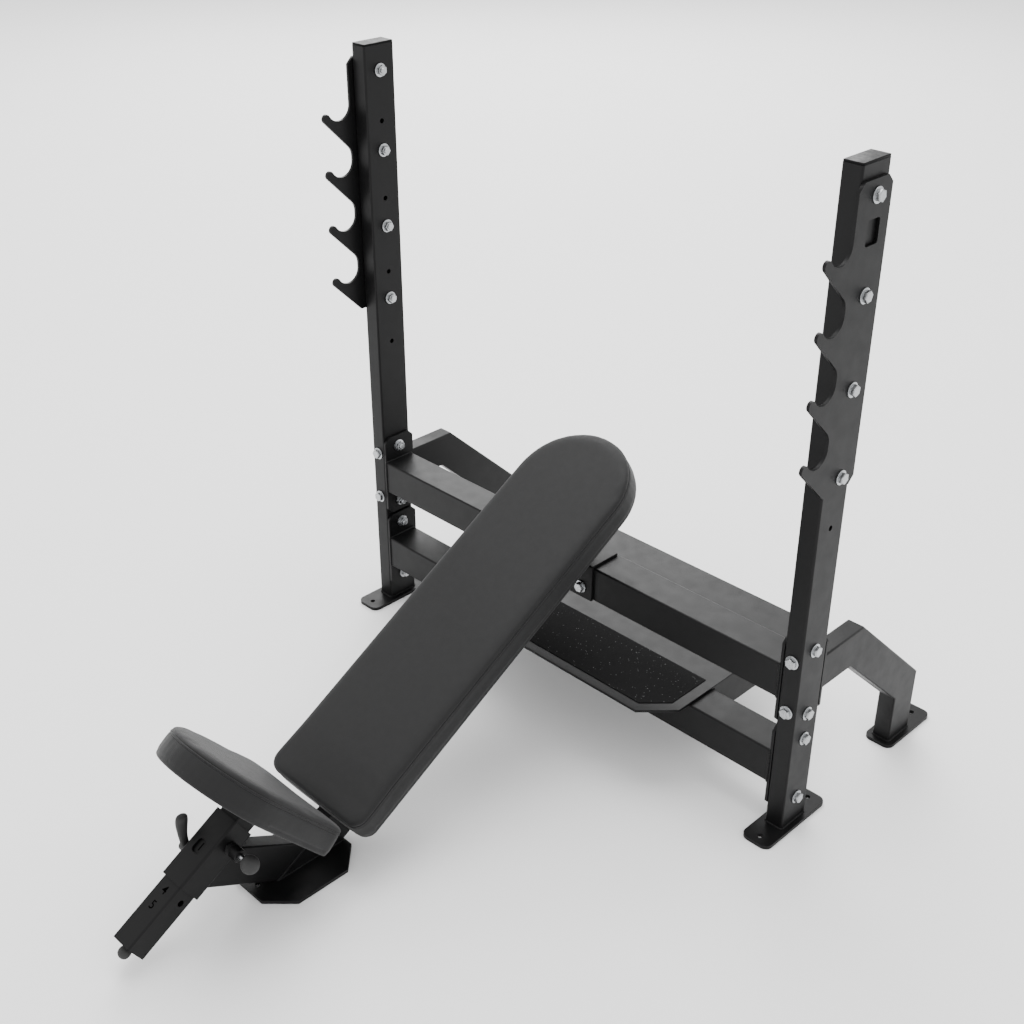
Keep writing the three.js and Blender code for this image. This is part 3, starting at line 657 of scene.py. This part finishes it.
def bolt(name, grip):
    """A bolt along X: its head's outer face at 0, and the rest of it behind."""
    far_face = -HEAD - WASHER - 0.3
    near_face = far_face - grip
    pieces = [
        hexagon("head", -HEAD, 0, 1),
        washer("far_washer", -HEAD - WASHER, -HEAD),
        cylinder("shank", SHANK_RADIUS - 0.2, near_face - 2, -HEAD - 1, 20),
        washer("near_washer", near_face - 0.3 - WASHER, near_face - 0.3),
        hexagon("nut", near_face - WASHER - NUT, near_face - WASHER, -1),
        threaded_end("tail", near_face - WASHER - NUT - TAIL, near_face - WASHER - NUT + 0.5),
    ]
    return join(name, *pieces)


class BENCH_OT_bolts(bpy.types.Operator):
    """Models the two lengths of bolt, and puts one in every bolt hole"""

    bl_idname = "bench.bolts"
    bl_label = "Bolts"

    def execute(self, context):
        patterns = {}
        for node in sorted(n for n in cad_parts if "_bolt_" in n):
            low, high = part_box(node)
            size = high - low
            axis = 0 if size.x > size.y else 1
            grip = round(size[axis] / MM - HEAD - 2 * WASHER - NUT - TAIL - 0.01)
            if grip not in patterns:
                patterns[grip] = bolt(f"bolt_pattern_{grip}", grip)
                smooth(patterns[grip], 40)
            middle = (low + high) / 2
            if axis == 0 and middle.x > 0:
                head, turn = Vector((high.x, middle.y, middle.z)), 0
            elif axis == 0:
                head, turn = Vector((low.x, middle.y, middle.z)), math.pi
            else:
                head, turn = Vector((middle.x, low.y, middle.z)), -math.pi / 2
            only(patterns[grip])
            bpy.ops.object.duplicate()
            piece = named(f"{node}_fastener")
            roll = noise.noise(head * 37) * 3  # each bolt stops at its own angle
            facing = Matrix.Rotation(turn, 4, "Z") @ Matrix.Rotation(roll, 4, "X")
            put(piece, Matrix.Translation(head) @ facing @ Matrix.Scale(MM, 4))
            finish(piece, material("zinc_steel"), "zinc_steel", "frame", node)
        for pattern in patterns.values():
            bpy.data.objects.remove(pattern)
        return {"FINISHED"}


# ---- pads ----------------------------------------------------------------------------------
PAD_HALF_WIDTH = 139
EVENING_PASSES = 14


def outline_point(share, square_end, round_end, inset, corner):
    """A point of a pad's outline and its outward direction. share runs from 0 to 1 round it."""
    half = PAD_HALF_WIDTH - inset
    sign = 1 if round_end > square_end else -1
    square = square_end + sign * inset
    middle = round_end - sign * PAD_HALF_WIDTH
    straight = abs(middle - square) - corner
    parts = [
        math.pi * half,
        straight,
        corner * math.pi / 2,
        2 * (half - corner),
        corner * math.pi / 2,
        straight,
    ]
    travel = (share % 1.0) * sum(parts)
    index = 0
    while index < 5 and travel > parts[index]:
        travel -= parts[index]
        index += 1
    t = travel / parts[index]
    if index == 0:
        angle = math.pi * t
        across, along = math.cos(angle), math.sin(angle)
        spot, out = (half * across, middle + sign * half * along), (across, sign * along)
    elif index == 1:
        spot, out = (-half, middle - sign * straight * t), (-1, 0)
    elif index == 2:
        angle = math.pi / 2 * t
        out = (-math.cos(angle), -sign * math.sin(angle))
        centre = (-(half - corner), square + sign * corner)
        spot = (centre[0] + corner * out[0], centre[1] + corner * out[1])
    elif index == 3:
        spot, out = (-(half - corner) * (1 - 2 * t), square), (0, -sign)
    elif index == 4:
        angle = math.pi / 2 * (1 - t)
        out = (math.cos(angle), -sign * math.sin(angle))
        centre = (half - corner, square + sign * corner)
        spot = (centre[0] + corner * out[0], centre[1] + corner * out[1])
    else:
        spot, out = (half, square + sign * (corner + straight * t)), (1, 0)
    return Vector((*spot, 0)), Vector((*out, 0))


def evened_moves(pad, start, passes):
    """How far the cover has moved at each vertex, averaged with its neighbours."""
    moves = np.array([v.co - rest for v, rest in zip(pad.data.vertices, start)])
    links = np.array([edge.vertices[:] for edge in pad.data.edges])
    for _ in range(passes):
        total = moves.copy()
        count = np.ones((len(moves), 1))
        for here, there in ((0, 1), (1, 0)):
            np.add.at(total, links[:, here], moves[links[:, there]])
            np.add.at(count, links[:, here], 1)
        moves = total / count
    return moves


def foam_pad(name, nodes, place, underside, limits):
    """A pad whose cover swells over its foam. limits takes a point and gives its furthest move."""
    shape = bpy.context.scene.bench_shape
    solids = [copy_of(node, f"{name}_{index}") for index, node in enumerate(nodes)]
    pad = join(name, *solids) if len(solids) > 1 else solids[0]
    pad.name = name
    pad.data.transform(place.inverted())
    pad.data.transform(Matrix.Scale(MM, 4))
    only(pad)
    pad.data.remesh_voxel_size = shape.pad_voxel
    pad.data.use_remesh_fix_poles = True
    bpy.ops.object.voxel_remesh()
    start = [v.co.copy() for v in pad.data.vertices]
    hold = pad.vertex_groups.new(name="board")
    low = underside * MM
    held = [v.index for v in pad.data.vertices if v.co.z < low + 14 * MM]
    hold.add(held, 1.0, "REPLACE")
    cloth = pad.modifiers.new("cover", "CLOTH")
    settings = cloth.settings
    settings.quality = 5
    settings.mass = 0.4
    settings.tension_stiffness = 25
    settings.compression_stiffness = 25
    settings.bending_stiffness = 10
    settings.use_pressure = True
    settings.uniform_pressure_force = 3.4
    settings.vertex_group_mass = "board"
    settings.effector_weights.gravity = 0
    cloth.collision_settings.use_collision = False
    scene = bpy.context.scene
    for step in range(1, 21):
        scene.frame_set(step)
    apply_modifiers(pad)
    scene.frame_set(1)
    moves = evened_moves(pad, start, EVENING_PASSES)
    for vertex, rest, shift in zip(pad.data.vertices, start, moves):
        move = Vector(shift)
        furthest = limits(rest / MM, shape.pad_swell / MM) * MM
        if move.length > furthest:
            move = move.normalized() * furthest
        vertex.co = rest + move
    swell = pad.modifiers.new("fine", "SUBSURF")
    swell.levels = 1
    swell.render_levels = 1
    apply_modifiers(pad)
    return pad


def settle(pad, place):
    """Takes a pad from its own frame, in metres, to its place on the bench."""
    pad.data.transform(place @ Matrix.Scale(1 / MM, 4))
    pad.data.update()
    smooth(pad, 60)


def pull_seam(pad, outline, height, depth, width):
    """Draws the cover in along the seam, with small tucks where it turns a corner."""
    steps = 720
    path = [outline_point(i / steps, *outline) for i in range(steps)]
    tree = KDTree(steps)
    for index, (spot, _) in enumerate(path):
        tree.insert(spot, index)
    tree.balance()
    for vertex in pad.data.vertices:
        point = vertex.co / MM
        rise = point.z - height
        if abs(rise) > 3 * width + 25:
            continue
        flat = Vector((point.x, point.y, 0))
        _, index, away = tree.find(flat)
        if away > 30:
            continue
        out = path[index][1]
        draw = depth * math.exp(-((rise / width) ** 2)) * math.exp(-((away / 9) ** 2))
        share = index / steps
        tucks = math.sin(share * 2 * math.pi * 61 + 3 * noise.noise(flat * 0.02))
        crease = 0.16 * tucks * math.exp(-((rise / 9) ** 2)) * math.exp(-((away / 14) ** 2))
        bend = 20 * (1 - out.dot(path[(index + 12) % steps][1]))
        vertex.co -= out * (draw + crease * min(1.0, bend)) * MM


def ring_tube(name, rings, sides, spot_at):
    """A closed ring of tube. spot_at takes a share of the ring and an angle round the tube."""
    bpy.ops.mesh.primitive_grid_add(x_subdivisions=rings, y_subdivisions=sides, size=2)
    tube = named(name)
    for vertex in tube.data.vertices:
        share = (vertex.co.x + 1) / 2
        angle = (vertex.co.y + 1) * math.pi
        vertex.co = spot_at(share % 1.0 if share < 0.9999 else 0.0, angle)
    face_outwards(tube, 1e-6)
    return tube


def welt(name, pad, outline, height, radius):
    """The sewn welt round a pad, lying in its seam. Drawn in the pad's own frame, in metres."""
    centres = {}

    def spot_at(share, angle):
        key = round(share, 6)
        if key not in centres:
            spot, out = outline_point(share, *outline)
            guess = Vector((spot.x, spot.y, height)) * MM + out * 12 * MM
            hit, surface, _, _ = pad.ray_cast(guess, -out)
            centres[key] = ((surface if hit else guess - out * 12 * MM) + out * radius * 0.15, out)
        centre, out = centres[key]
        offset = out * math.cos(angle) + Vector((0, 0, 1)) * math.sin(angle)
        return centre + offset * radius

    return ring_tube(name, 420, 8, spot_at)


def dust_cover(name, outline, height):
    """The cloth stapled under a pad's board, with a turned hem."""
    steps = 160
    bpy.ops.mesh.primitive_circle_add(vertices=steps, radius=1, fill_type="NGON")
    sheet = named(name)
    for index in range(steps):
        spot, _ = outline_point(index / steps, *outline)
        sheet.data.vertices[index].co = Vector((spot.x, spot.y, height)) * MM
    pick(sheet, "faces", lambda f: True)
    bpy.ops.mesh.inset(thickness=6 * MM, depth=0)
    bpy.ops.mesh.inset(thickness=2 * MM, depth=0)
    leave_edit()
    thick = sheet.modifiers.new("cloth", "SOLIDIFY")
    thick.thickness = 0.8 * MM
    thick.offset = 0
    apply_modifiers(sheet)
    face_outwards(sheet)
    return sheet


BACK = {"square": -567, "round": 391, "under": 433, "surface": 493.5}
SEAT = {"square": -598, "round": -941, "under": -540, "surface": -481}
SEAM_DROP = 11
SEAM_DEPTH = 1.8
SEAM_WIDTH = 3.0
PAD_CORNER = 30


class BENCH_OT_back_pad(bpy.types.Operator):
    """Makes the long back pad: foam under vinyl, its welt, and the cloth under its board"""

    bl_idname = "bench.back_pad"
    bl_label = "Back pad"

    def execute(self, context):
        def limits(point, swell):
            near_seat = min(1.0, max(0.0, (point.y + 520) / 60))
            return 1.0 + (swell - 1.0) * near_seat

        build_pad("back", BACK, SLOPE_FRAME, "frame", limits)
        return {"FINISHED"}


class BENCH_OT_seat_pad(bpy.types.Operator):
    """Makes the seat pad: foam under vinyl, its welt, and the cloth under its board"""

    bl_idname = "bench.seat_pad"
    bl_label = "Seat pad"

    def execute(self, context):
        def limits(point, swell):
            near_back = min(1.0, max(0.0, (-597 - point.y) / 40))
            return 0.8 + (swell - 0.8) * near_back

        build_pad("seat", SEAT, SEAT_FRAME, "seat_carriage", limits)
        return {"FINISHED"}


def build_pad(which, sizes, place, body, limits):
    shape = bpy.context.scene.bench_shape
    outline = (sizes["square"], sizes["round"], 0, PAD_CORNER)
    nodes = [f"{which}_pad", f"{which}_pad_board"]
    pad = foam_pad(f"{which}_cushion", nodes, place, sizes["under"], limits)
    seam = sizes["surface"] - SEAM_DROP
    pull_seam(pad, outline, seam, SEAM_DEPTH, SEAM_WIDTH)
    cord = welt(f"{which}_welt", pad, outline, seam, shape.welt)
    hem = (sizes["square"], sizes["round"], 16, PAD_CORNER - 12)
    cover = dust_cover(f"{which}_dust_cover", hem, sizes["under"] - 0.1)
    for piece in (pad, cord, cover):
        settle(piece, place)
    finish(pad, material("vinyl"), "vinyl", body, *nodes)
    finish(cord, material("vinyl"), "vinyl", body)
    finish(cover, material("dust_cloth"), "vinyl", body)


# ---- weld beads ----------------------------------------------------------------------------
def rectangle_point(share, half_u, half_v, radius):
    """A point of a rounded rectangle's edge and its outward direction."""
    straight_u, straight_v = 2 * (half_u - radius), 2 * (half_v - radius)
    arc = radius * math.pi / 2
    parts = [straight_v, arc, straight_u, arc, straight_v, arc, straight_u, arc]
    travel = (share % 1.0) * sum(parts)
    index = 0
    while index < 7 and travel > parts[index]:
        travel -= parts[index]
        index += 1
    t = travel / parts[index] if parts[index] else 0
    side, turning = divmod(index, 2)
    angle = side * math.pi / 2 + (math.pi / 2 * t if turning else 0)
    out = Vector((math.cos(angle), math.sin(angle), 0))
    u, v = half_u - radius, half_v - radius
    corners = [(u, v), (-u, v), (-u, -v), (u, -v)]
    if turning:
        centre = Vector((*corners[side], 0))
        return centre + out * radius, out
    before = Vector((*corners[side - 1], 0))
    after = Vector((*corners[side], 0))
    return before.lerp(after, t) + out * radius, out


def weld_bead(name, place, half_u, half_v, radius, corner=4):
    """A rippled bead round a rectangle in the XY plane of place, in millimetres."""
    rings = int(4 * (half_u + half_v) / 1.6)
    ripples = rings // 4

    def spot_at(share, angle):
        spot, out = rectangle_point(share, half_u, half_v, corner)
        wander = noise.noise(Vector((math.cos(share * 2 * math.pi), share, half_u)) * 9)
        reach = radius * (1 + 0.16 * math.sin(share * ripples * 2 * math.pi) + 0.2 * wander)
        return spot + out * math.cos(angle) * reach + Vector((0, 0, math.sin(angle) * reach))

    bead = ring_tube(name, rings, 8, spot_at)
    put(bead, place)
    smooth(bead, 60)
    return bead


class BENCH_OT_weld_beads(bpy.types.Operator):
    """Lays the weld beads where tubes meet plates and each other"""

    bl_idname = "bench.weld_beads"
    bl_label = "Weld beads"

    def execute(self, context):
        radius = context.scene.bench_shape.bead / MM
        across = UPRIGHT_X / MM
        beads = []
        for side, sign in (("right", 1), ("left", -1)):
            at = BENCH_FRAME @ Matrix.Translation((sign * across, 0, FOOT_TOP))
            beads.append((f"upright_foot_bead_{side}", at, *TUBE_HALF))
            at = BENCH_FRAME @ Matrix.Translation((sign * across, LEG_FOOT_Y, FOOT_TOP))
            beads.append((f"leg_foot_bead_{side}", at, *TUBE_HALF))
            for which, height in CROSS_HEIGHTS.items():
                on_edge = Matrix.Rotation(math.pi / 2, 4, "Y")
                at = BENCH_FRAME @ Matrix.Translation((sign * FLANGE_FACE_X, 0, height)) @ on_edge
                beads.append((f"{which}_flange_bead_{side}", at, *CROSS_HALF))
        low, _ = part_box("spine")
        spine_y = (low.y - UPRIGHT_PLANE_Y) / MM
        at = BENCH_FRAME @ Matrix.Translation((0, spine_y + 80, FOOT_TOP))
        beads.append(("spine_foot_bead", at, 20, 80))
        at = SLOPE_FRAME @ Matrix.Translation((0, *NECK_AT_SPINE))
        beads.append(("neck_spine_bead", at, 20, 45.9))
        at = SLOPE_FRAME @ Matrix.Translation((0, *NECK_AT_SLEEVE))
        beads.append(("neck_sleeve_bead", at, 20, 46.2))
        for name, place, half_u, half_v in beads:
            bead = weld_bead(name, place, half_u, half_v, radius)
            finish(bead, material("powder_coat"), "powder_coat", "frame")
        return {"FINISHED"}


# ---- pop-pin, clamp lever, bumper and caps -------------------------------------------------
PIN_PLACE = SLOPE_FRAME @ Matrix.Translation((0, PIN_ALONG, POST_AXIS - 4))
LEVER_PLACE = SLOPE_FRAME @ Matrix.Translation((0, LEVER_ALONG, POST_AXIS))


def turned(name, profile, sides=36):
    """Spins a profile of (x, radius) pairs about the X axis, in millimetres."""
    bpy.ops.mesh.primitive_circle_add(vertices=len(profile), radius=1, fill_type="NOTHING")
    piece = named(name)
    pick(piece, "edges", lambda e: {v.index for v in e.verts} == {0, len(profile) - 1})
    bpy.ops.mesh.delete(type="EDGE_FACE")
    leave_edit()
    for vertex, (x, radius) in zip(piece.data.vertices, profile):
        vertex.co = (x, 0, radius)
    only(piece)
    bpy.ops.object.mode_set(mode="EDIT")
    bpy.ops.mesh.select_all(action="SELECT")
    bpy.ops.mesh.spin(
        steps=sides, angle=2 * math.pi, center=(0, 0, 0), axis=(1, 0, 0), use_auto_merge=False
    )
    leave_edit()
    face_outwards(piece, 0.001)
    return piece


class BENCH_OT_pop_pin(bpy.types.Operator):
    """Turns the pop-pin: its threaded barrel and lock nut, its pin, and its ball knob"""

    bl_idname = "bench.pop_pin"
    bl_label = "Pop-pin"

    def execute(self, context):
        nut_profile = [(30.4, 7.2), (30.4, 14.4), (32.6, 14.6), (33.7, 13.6), (33.7, 7.2)]
        nut_profile.append(nut_profile[0])
        nut = turned("lock_nut", nut_profile, 6)
        profile = [(33.8, 9.2), (33.8, 12.2)]
        for turn in range(4):
            profile += [(34.6 + 1.7 * turn, 12.6), (35.4 + 1.7 * turn, 11.6)]
        profile += [(41.8, 11.8), (42.4, 13.2), (60.8, 13.2), (61.9, 12.2), (61.9, 6.6)]
        profile += [(59, 6.6), (59, 9.2), (33.8, 9.2)]
        barrel = join("pin_barrel", turned("sleeve", profile), nut)
        smooth(barrel, 30)
        put(barrel, PIN_PLACE)
        finish(barrel, material("powder_coat"), "powder_coat", "frame", "pop_pin_barrel")

        shank = turned("pin_shank", [(26.5, 0), (26.5, 4.6), (27.8, 5.95), (46, 6), (46, 8.5),
                                     (49, 8.5), (49, 6), (85.5, 6), (85.5, 0)])
        smooth(shank, 30)
        put(shank, PIN_PLACE)
        finish(shank, material("zinc_steel"), "zinc_steel", "pop_pin", "pop_pin_plunger")

        ball = [(87, 0), (87, 6.3), (75.2, 6.3), (74.7, 7.2)]
        centre, radius, steps = 91, 17.9, 22
        start = math.asin(7.6 / radius)
        for step in range(steps + 1):
            angle = start + (math.pi - start) * step / steps
            ball.append((centre - radius * math.cos(angle), radius * math.sin(angle)))
        ball[-1] = (centre + radius, 0)
        knob = turned("pin_knob", ball, 44)
        smooth(knob, 40)
        put(knob, PIN_PLACE)
        finish(knob, material("rubber"), "black_plastic", "pop_pin", "pop_pin_knob")
        return {"FINISHED"}


class BENCH_OT_clamp_lever(bpy.types.Operator):
    """Moulds the clamp lever: a round hub, a waisted arm and a rounded grip"""

    bl_idname = "bench.clamp_lever"
    bl_label = "Clamp lever"

    def execute(self, context):
        hub = turned("lever_hub", [(-41, 6.4), (-41, 9.6), (-42, 10.7), (-58, 10.9), (-59.4, 9.9),
                                   (-59.8, 8), (-59.2, 5), (-59.2, 0)], 40)
        stations = [(0, 7.5, 8.5), (9, 7.4, 8.6), (22, 7.2, 8.8), (38, 8.2, 10), (54, 9.8, 12.2),
                    (64, 10.2, 13), (71, 9.6, 12), (75, 7, 9)]
        bpy.ops.mesh.primitive_circle_add(vertices=16, radius=1, fill_type="NGON")
        arm = named("lever_arm")
        pick(arm, "faces", lambda f: True)
        for _ in stations[1:]:
            bpy.ops.mesh.extrude_region_move(TRANSFORM_OT_translate={"value": (0, 0, 1)})
        leave_edit()
        for vertex in arm.data.vertices:
            level = round(vertex.co.z)
            height, half_x, half_y = stations[level]
            lean = -4 * math.sin(math.pi * height / 72) * 0.8
            vertex.co = (vertex.co.x * half_x, vertex.co.y * half_y + lean, height)
        face_outwards(arm)
        rounding = arm.modifiers.new("rounding", "SUBSURF")
        rounding.levels = 2
        rounding.render_levels = 2
        apply_modifiers(arm)
        arm.data.transform(Matrix.Rotation(-SLOPE, 4, "X"))
        arm.data.transform(Matrix.Translation((-50, 0, 0)))
        lever = join("lever_moulding", hub, arm)
        smooth(lever, 40)
        put(lever, LEVER_PLACE)
        finish(lever, material("rubber"), "black_plastic", "clamp", "clamp_lever")
        return {"FINISHED"}


class BENCH_OT_bumper(bpy.types.Operator):
    """Moulds the plug and round bumper in the post's lower end"""

    bl_idname = "bench.bumper"
    bl_label = "Post bumper"

    def execute(self, context):
        bpy.ops.mesh.primitive_cube_add(size=1)
        plug = named("plug")
        plug.data.transform(Matrix.Diagonal((8, 42.8, 42.8, 1)))
        plug.data.transform(Matrix.Translation((-4.5, 0, 0)))
        bevel_edges(plug, lambda e: runs_along(e, 0, 4), 3, 3)
        bulb = [(-2, 0), (-2, 9), (1, 9), (3, 10.6), (6, 11.8), (10, 12), (14, 11.3), (17.5, 9.4),
                (20, 6.3), (21.4, 3.2), (21.8, 0)]
        bumper = join("post_end_bumper", turned("bulb", bulb, 32), plug)
        smooth(bumper, 50)
        down = Matrix.Rotation(-math.pi / 2, 4, "Z")
        put(bumper, SLOPE_FRAME @ Matrix.Translation((0, POST_LOW, POST_AXIS)) @ down)
        finish(bumper, material("rubber"), "rubber", "seat_carriage", "post_bumper")
        return {"FINISHED"}


class BENCH_OT_caps(bpy.types.Operator):
    """Moulds the plastic caps in the tops of the uprights"""

    bl_idname = "bench.caps"
    bl_label = "Upright caps"

    def execute(self, context):
        for side in ("right", "left"):
            low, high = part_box(f"upright_cap_{side}")
            middle = (low + high) / 2
            bpy.ops.mesh.primitive_cube_add(size=1)
            cap = named(f"tube_cap_{side}")
            cap.data.transform(Matrix.Diagonal((39.6, 79.6, 3.7, 1)))
            cap.data.transform(Matrix.Translation((0, 0, -1.85)))
            bevel_edges(cap, lambda e: runs_along(e, 2, 2), 4, 4)
            pick(cap, "faces", lambda f: f.normal.z > 0.9)
            bpy.ops.mesh.inset(thickness=1.4, depth=0)
            leave_edit()
            for vertex in cap.data.vertices:
                rim = abs(vertex.co.x) > 18.7 or abs(vertex.co.y) > 38.7
                if vertex.co.z > -0.01 and rim:
                    vertex.co.z = -1.3
            bpy.ops.mesh.primitive_cube_add(size=1)
            plug = named("plug")
            plug.data.transform(Matrix.Diagonal((33, 73, 12, 1)))
            plug.data.transform(Matrix.Translation((0, 0, -9)))
            pick(plug, "faces", lambda f: f.normal.z < -0.9)
            bpy.ops.mesh.inset(thickness=2.5, depth=0)
            bpy.ops.mesh.extrude_region_move(TRANSFORM_OT_translate={"value": (0, 0, 9)})
            leave_edit()
            cap = join(f"tube_cap_{side}", plug, cap)
            smooth(cap, 35)
            top = Vector((middle.x, middle.y, high.z))
            put(cap, Matrix.Translation(top) @ Matrix.Scale(MM, 4))
            finish(cap, material("black_plastic"), "black_plastic", "frame", f"upright_cap_{side}")
        return {"FINISHED"}


class BENCH_OT_digits(bpy.types.Operator):
    """Marks the seat's positions on the post, 1 to 5, as thin near-black shapes: painted shade
    standing in for the shadow inside digits cut through the post
    """

    bl_idname = "bench.digits"
    bl_label = "Position digits"

    def execute(self, context):
        for index in range(5):
            bpy.ops.object.text_add()
            letters = bpy.context.active_object
            letters.data.body = str(index + 1)
            letters.data.align_x = "CENTER"
            letters.data.align_y = "CENTER"
            letters.data.size = 24
            letters.data.extrude = 0.12
            letters.data.offset = 0.05
            letters.data.resolution_u = 6
            bpy.ops.object.convert(target="MESH")
            digit = named(f"position_{index + 1}")
            along = WINDOW_ALONG - POSITION_PITCH * index
            put(digit, SLOPE_FRAME @ Matrix.Translation((0, along, POST_TOP_FACE)))
            # The near-black digit is painted shade: it stands in for the shadow inside a digit cut
            # through the post's wall.
            finish(digit, material("digits"), "black_plastic", "seat_carriage")
        return {"FINISHED"}


# ---- stage ---------------------------------------------------------------------------------
CAMERA_SPOT = (1763.8, -1944.0, 1984.8)  # from the middle of the uprights' floor line
CAMERA_AZIMUTH = math.radians(45.1)
CAMERA_ELEVATION = math.radians(29.93)


def soft_light(name, spot, target, size, power):
    bpy.ops.object.light_add(type="AREA", location=spot)
    lamp = bpy.context.active_object
    lamp.name = name
    lamp.data.size = size
    lamp.data.energy = power
    lamp.rotation_euler = (Vector(target) - Vector(spot)).to_track_quat("-Z", "Y").to_euler()


class BENCH_OT_stage(bpy.types.Operator):
    """Sets out the floor, the lights and the camera"""

    bl_idname = "bench.stage"
    bl_label = "Stage"

    def execute(self, context):
        settings = context.scene.bench_stage
        bpy.ops.mesh.primitive_grid_add(x_subdivisions=4, y_subdivisions=4, size=60)
        floor = named("studio_ground")
        floor.location.z = -0.0005
        freeze(floor)
        floor.data.materials.append(studio_floor(settings.floor))
        world = bpy.data.worlds.new("studio")
        world.use_nodes = True
        sky = world.node_tree.nodes["Background"]
        sky.inputs["Color"].default_value = (1, 1, 1, 1)
        sky.inputs["Strength"].default_value = settings.sky
        context.scene.world = world
        soft_light("key", (-5, 5, 4.6), (0, 0, 0.3), 5, settings.key)
        soft_light("top", (-0.8, 0.8, 5), (0, 0, 0), 3, settings.key * 0.3)
        spot = BENCH_FRAME @ Vector(CAMERA_SPOT)
        bpy.ops.object.camera_add(location=spot)
        camera = bpy.context.active_object
        camera.rotation_euler = (math.pi / 2 - CAMERA_ELEVATION, 0, CAMERA_AZIMUTH)
        camera.data.lens = settings.lens
        camera.data.sensor_width = 36
        camera.data.clip_end = 100
        context.scene.camera = camera
        return {"FINISHED"}


# ---- panel and registration ----------------------------------------------------------------
PIECES = (
    BENCH_OT_coated_steel,
    BENCH_OT_small_nodes,
    BENCH_OT_bolts,
    BENCH_OT_back_pad,
    BENCH_OT_seat_pad,
    BENCH_OT_weld_beads,
    BENCH_OT_pop_pin,
    BENCH_OT_clamp_lever,
    BENCH_OT_bumper,
    BENCH_OT_caps,
    BENCH_OT_digits,
    BENCH_OT_stage,
)


class BENCH_PT_panel(bpy.types.Panel):
    """Lists the bench's settings and pieces"""

    bl_idname = "BENCH_PT_panel"
    bl_label = "Bench"
    bl_space_type = "VIEW_3D"
    bl_region_type = "UI"
    bl_category = "Bench"

    def draw(self, context):
        for group in ("bench_finish", "bench_shape", "bench_stage"):
            settings = getattr(context.scene, group)
            for key in settings.__annotations__:
                self.layout.prop(settings, key)
        for piece in PIECES:
            self.layout.operator(piece.bl_idname)


GROUPS = {
    "bench_finish": BenchFinish,
    "bench_shape": BenchShape,
    "bench_stage": BenchStage,
}


def register():
    for group in GROUPS.values():
        bpy.utils.register_class(group)
    for name, group in GROUPS.items():
        setattr(bpy.types.Scene, name, bpy.props.PointerProperty(type=group))
    for piece in PIECES:
        bpy.utils.register_class(piece)
    bpy.utils.register_class(BENCH_PT_panel)


def unregister():
    bpy.utils.unregister_class(BENCH_PT_panel)
    for piece in reversed(PIECES):
        bpy.utils.unregister_class(piece)
    for name in GROUPS:
        delattr(bpy.types.Scene, name)
    for group in GROUPS.values():
        bpy.utils.unregister_class(group)


def main():
    register()
    for piece in PIECES:
        area, action = piece.bl_idname.split(".")
        getattr(getattr(bpy.ops, area), action)()
    bpy.context.view_layer.update()


if __name__ == "__main__":
    main()
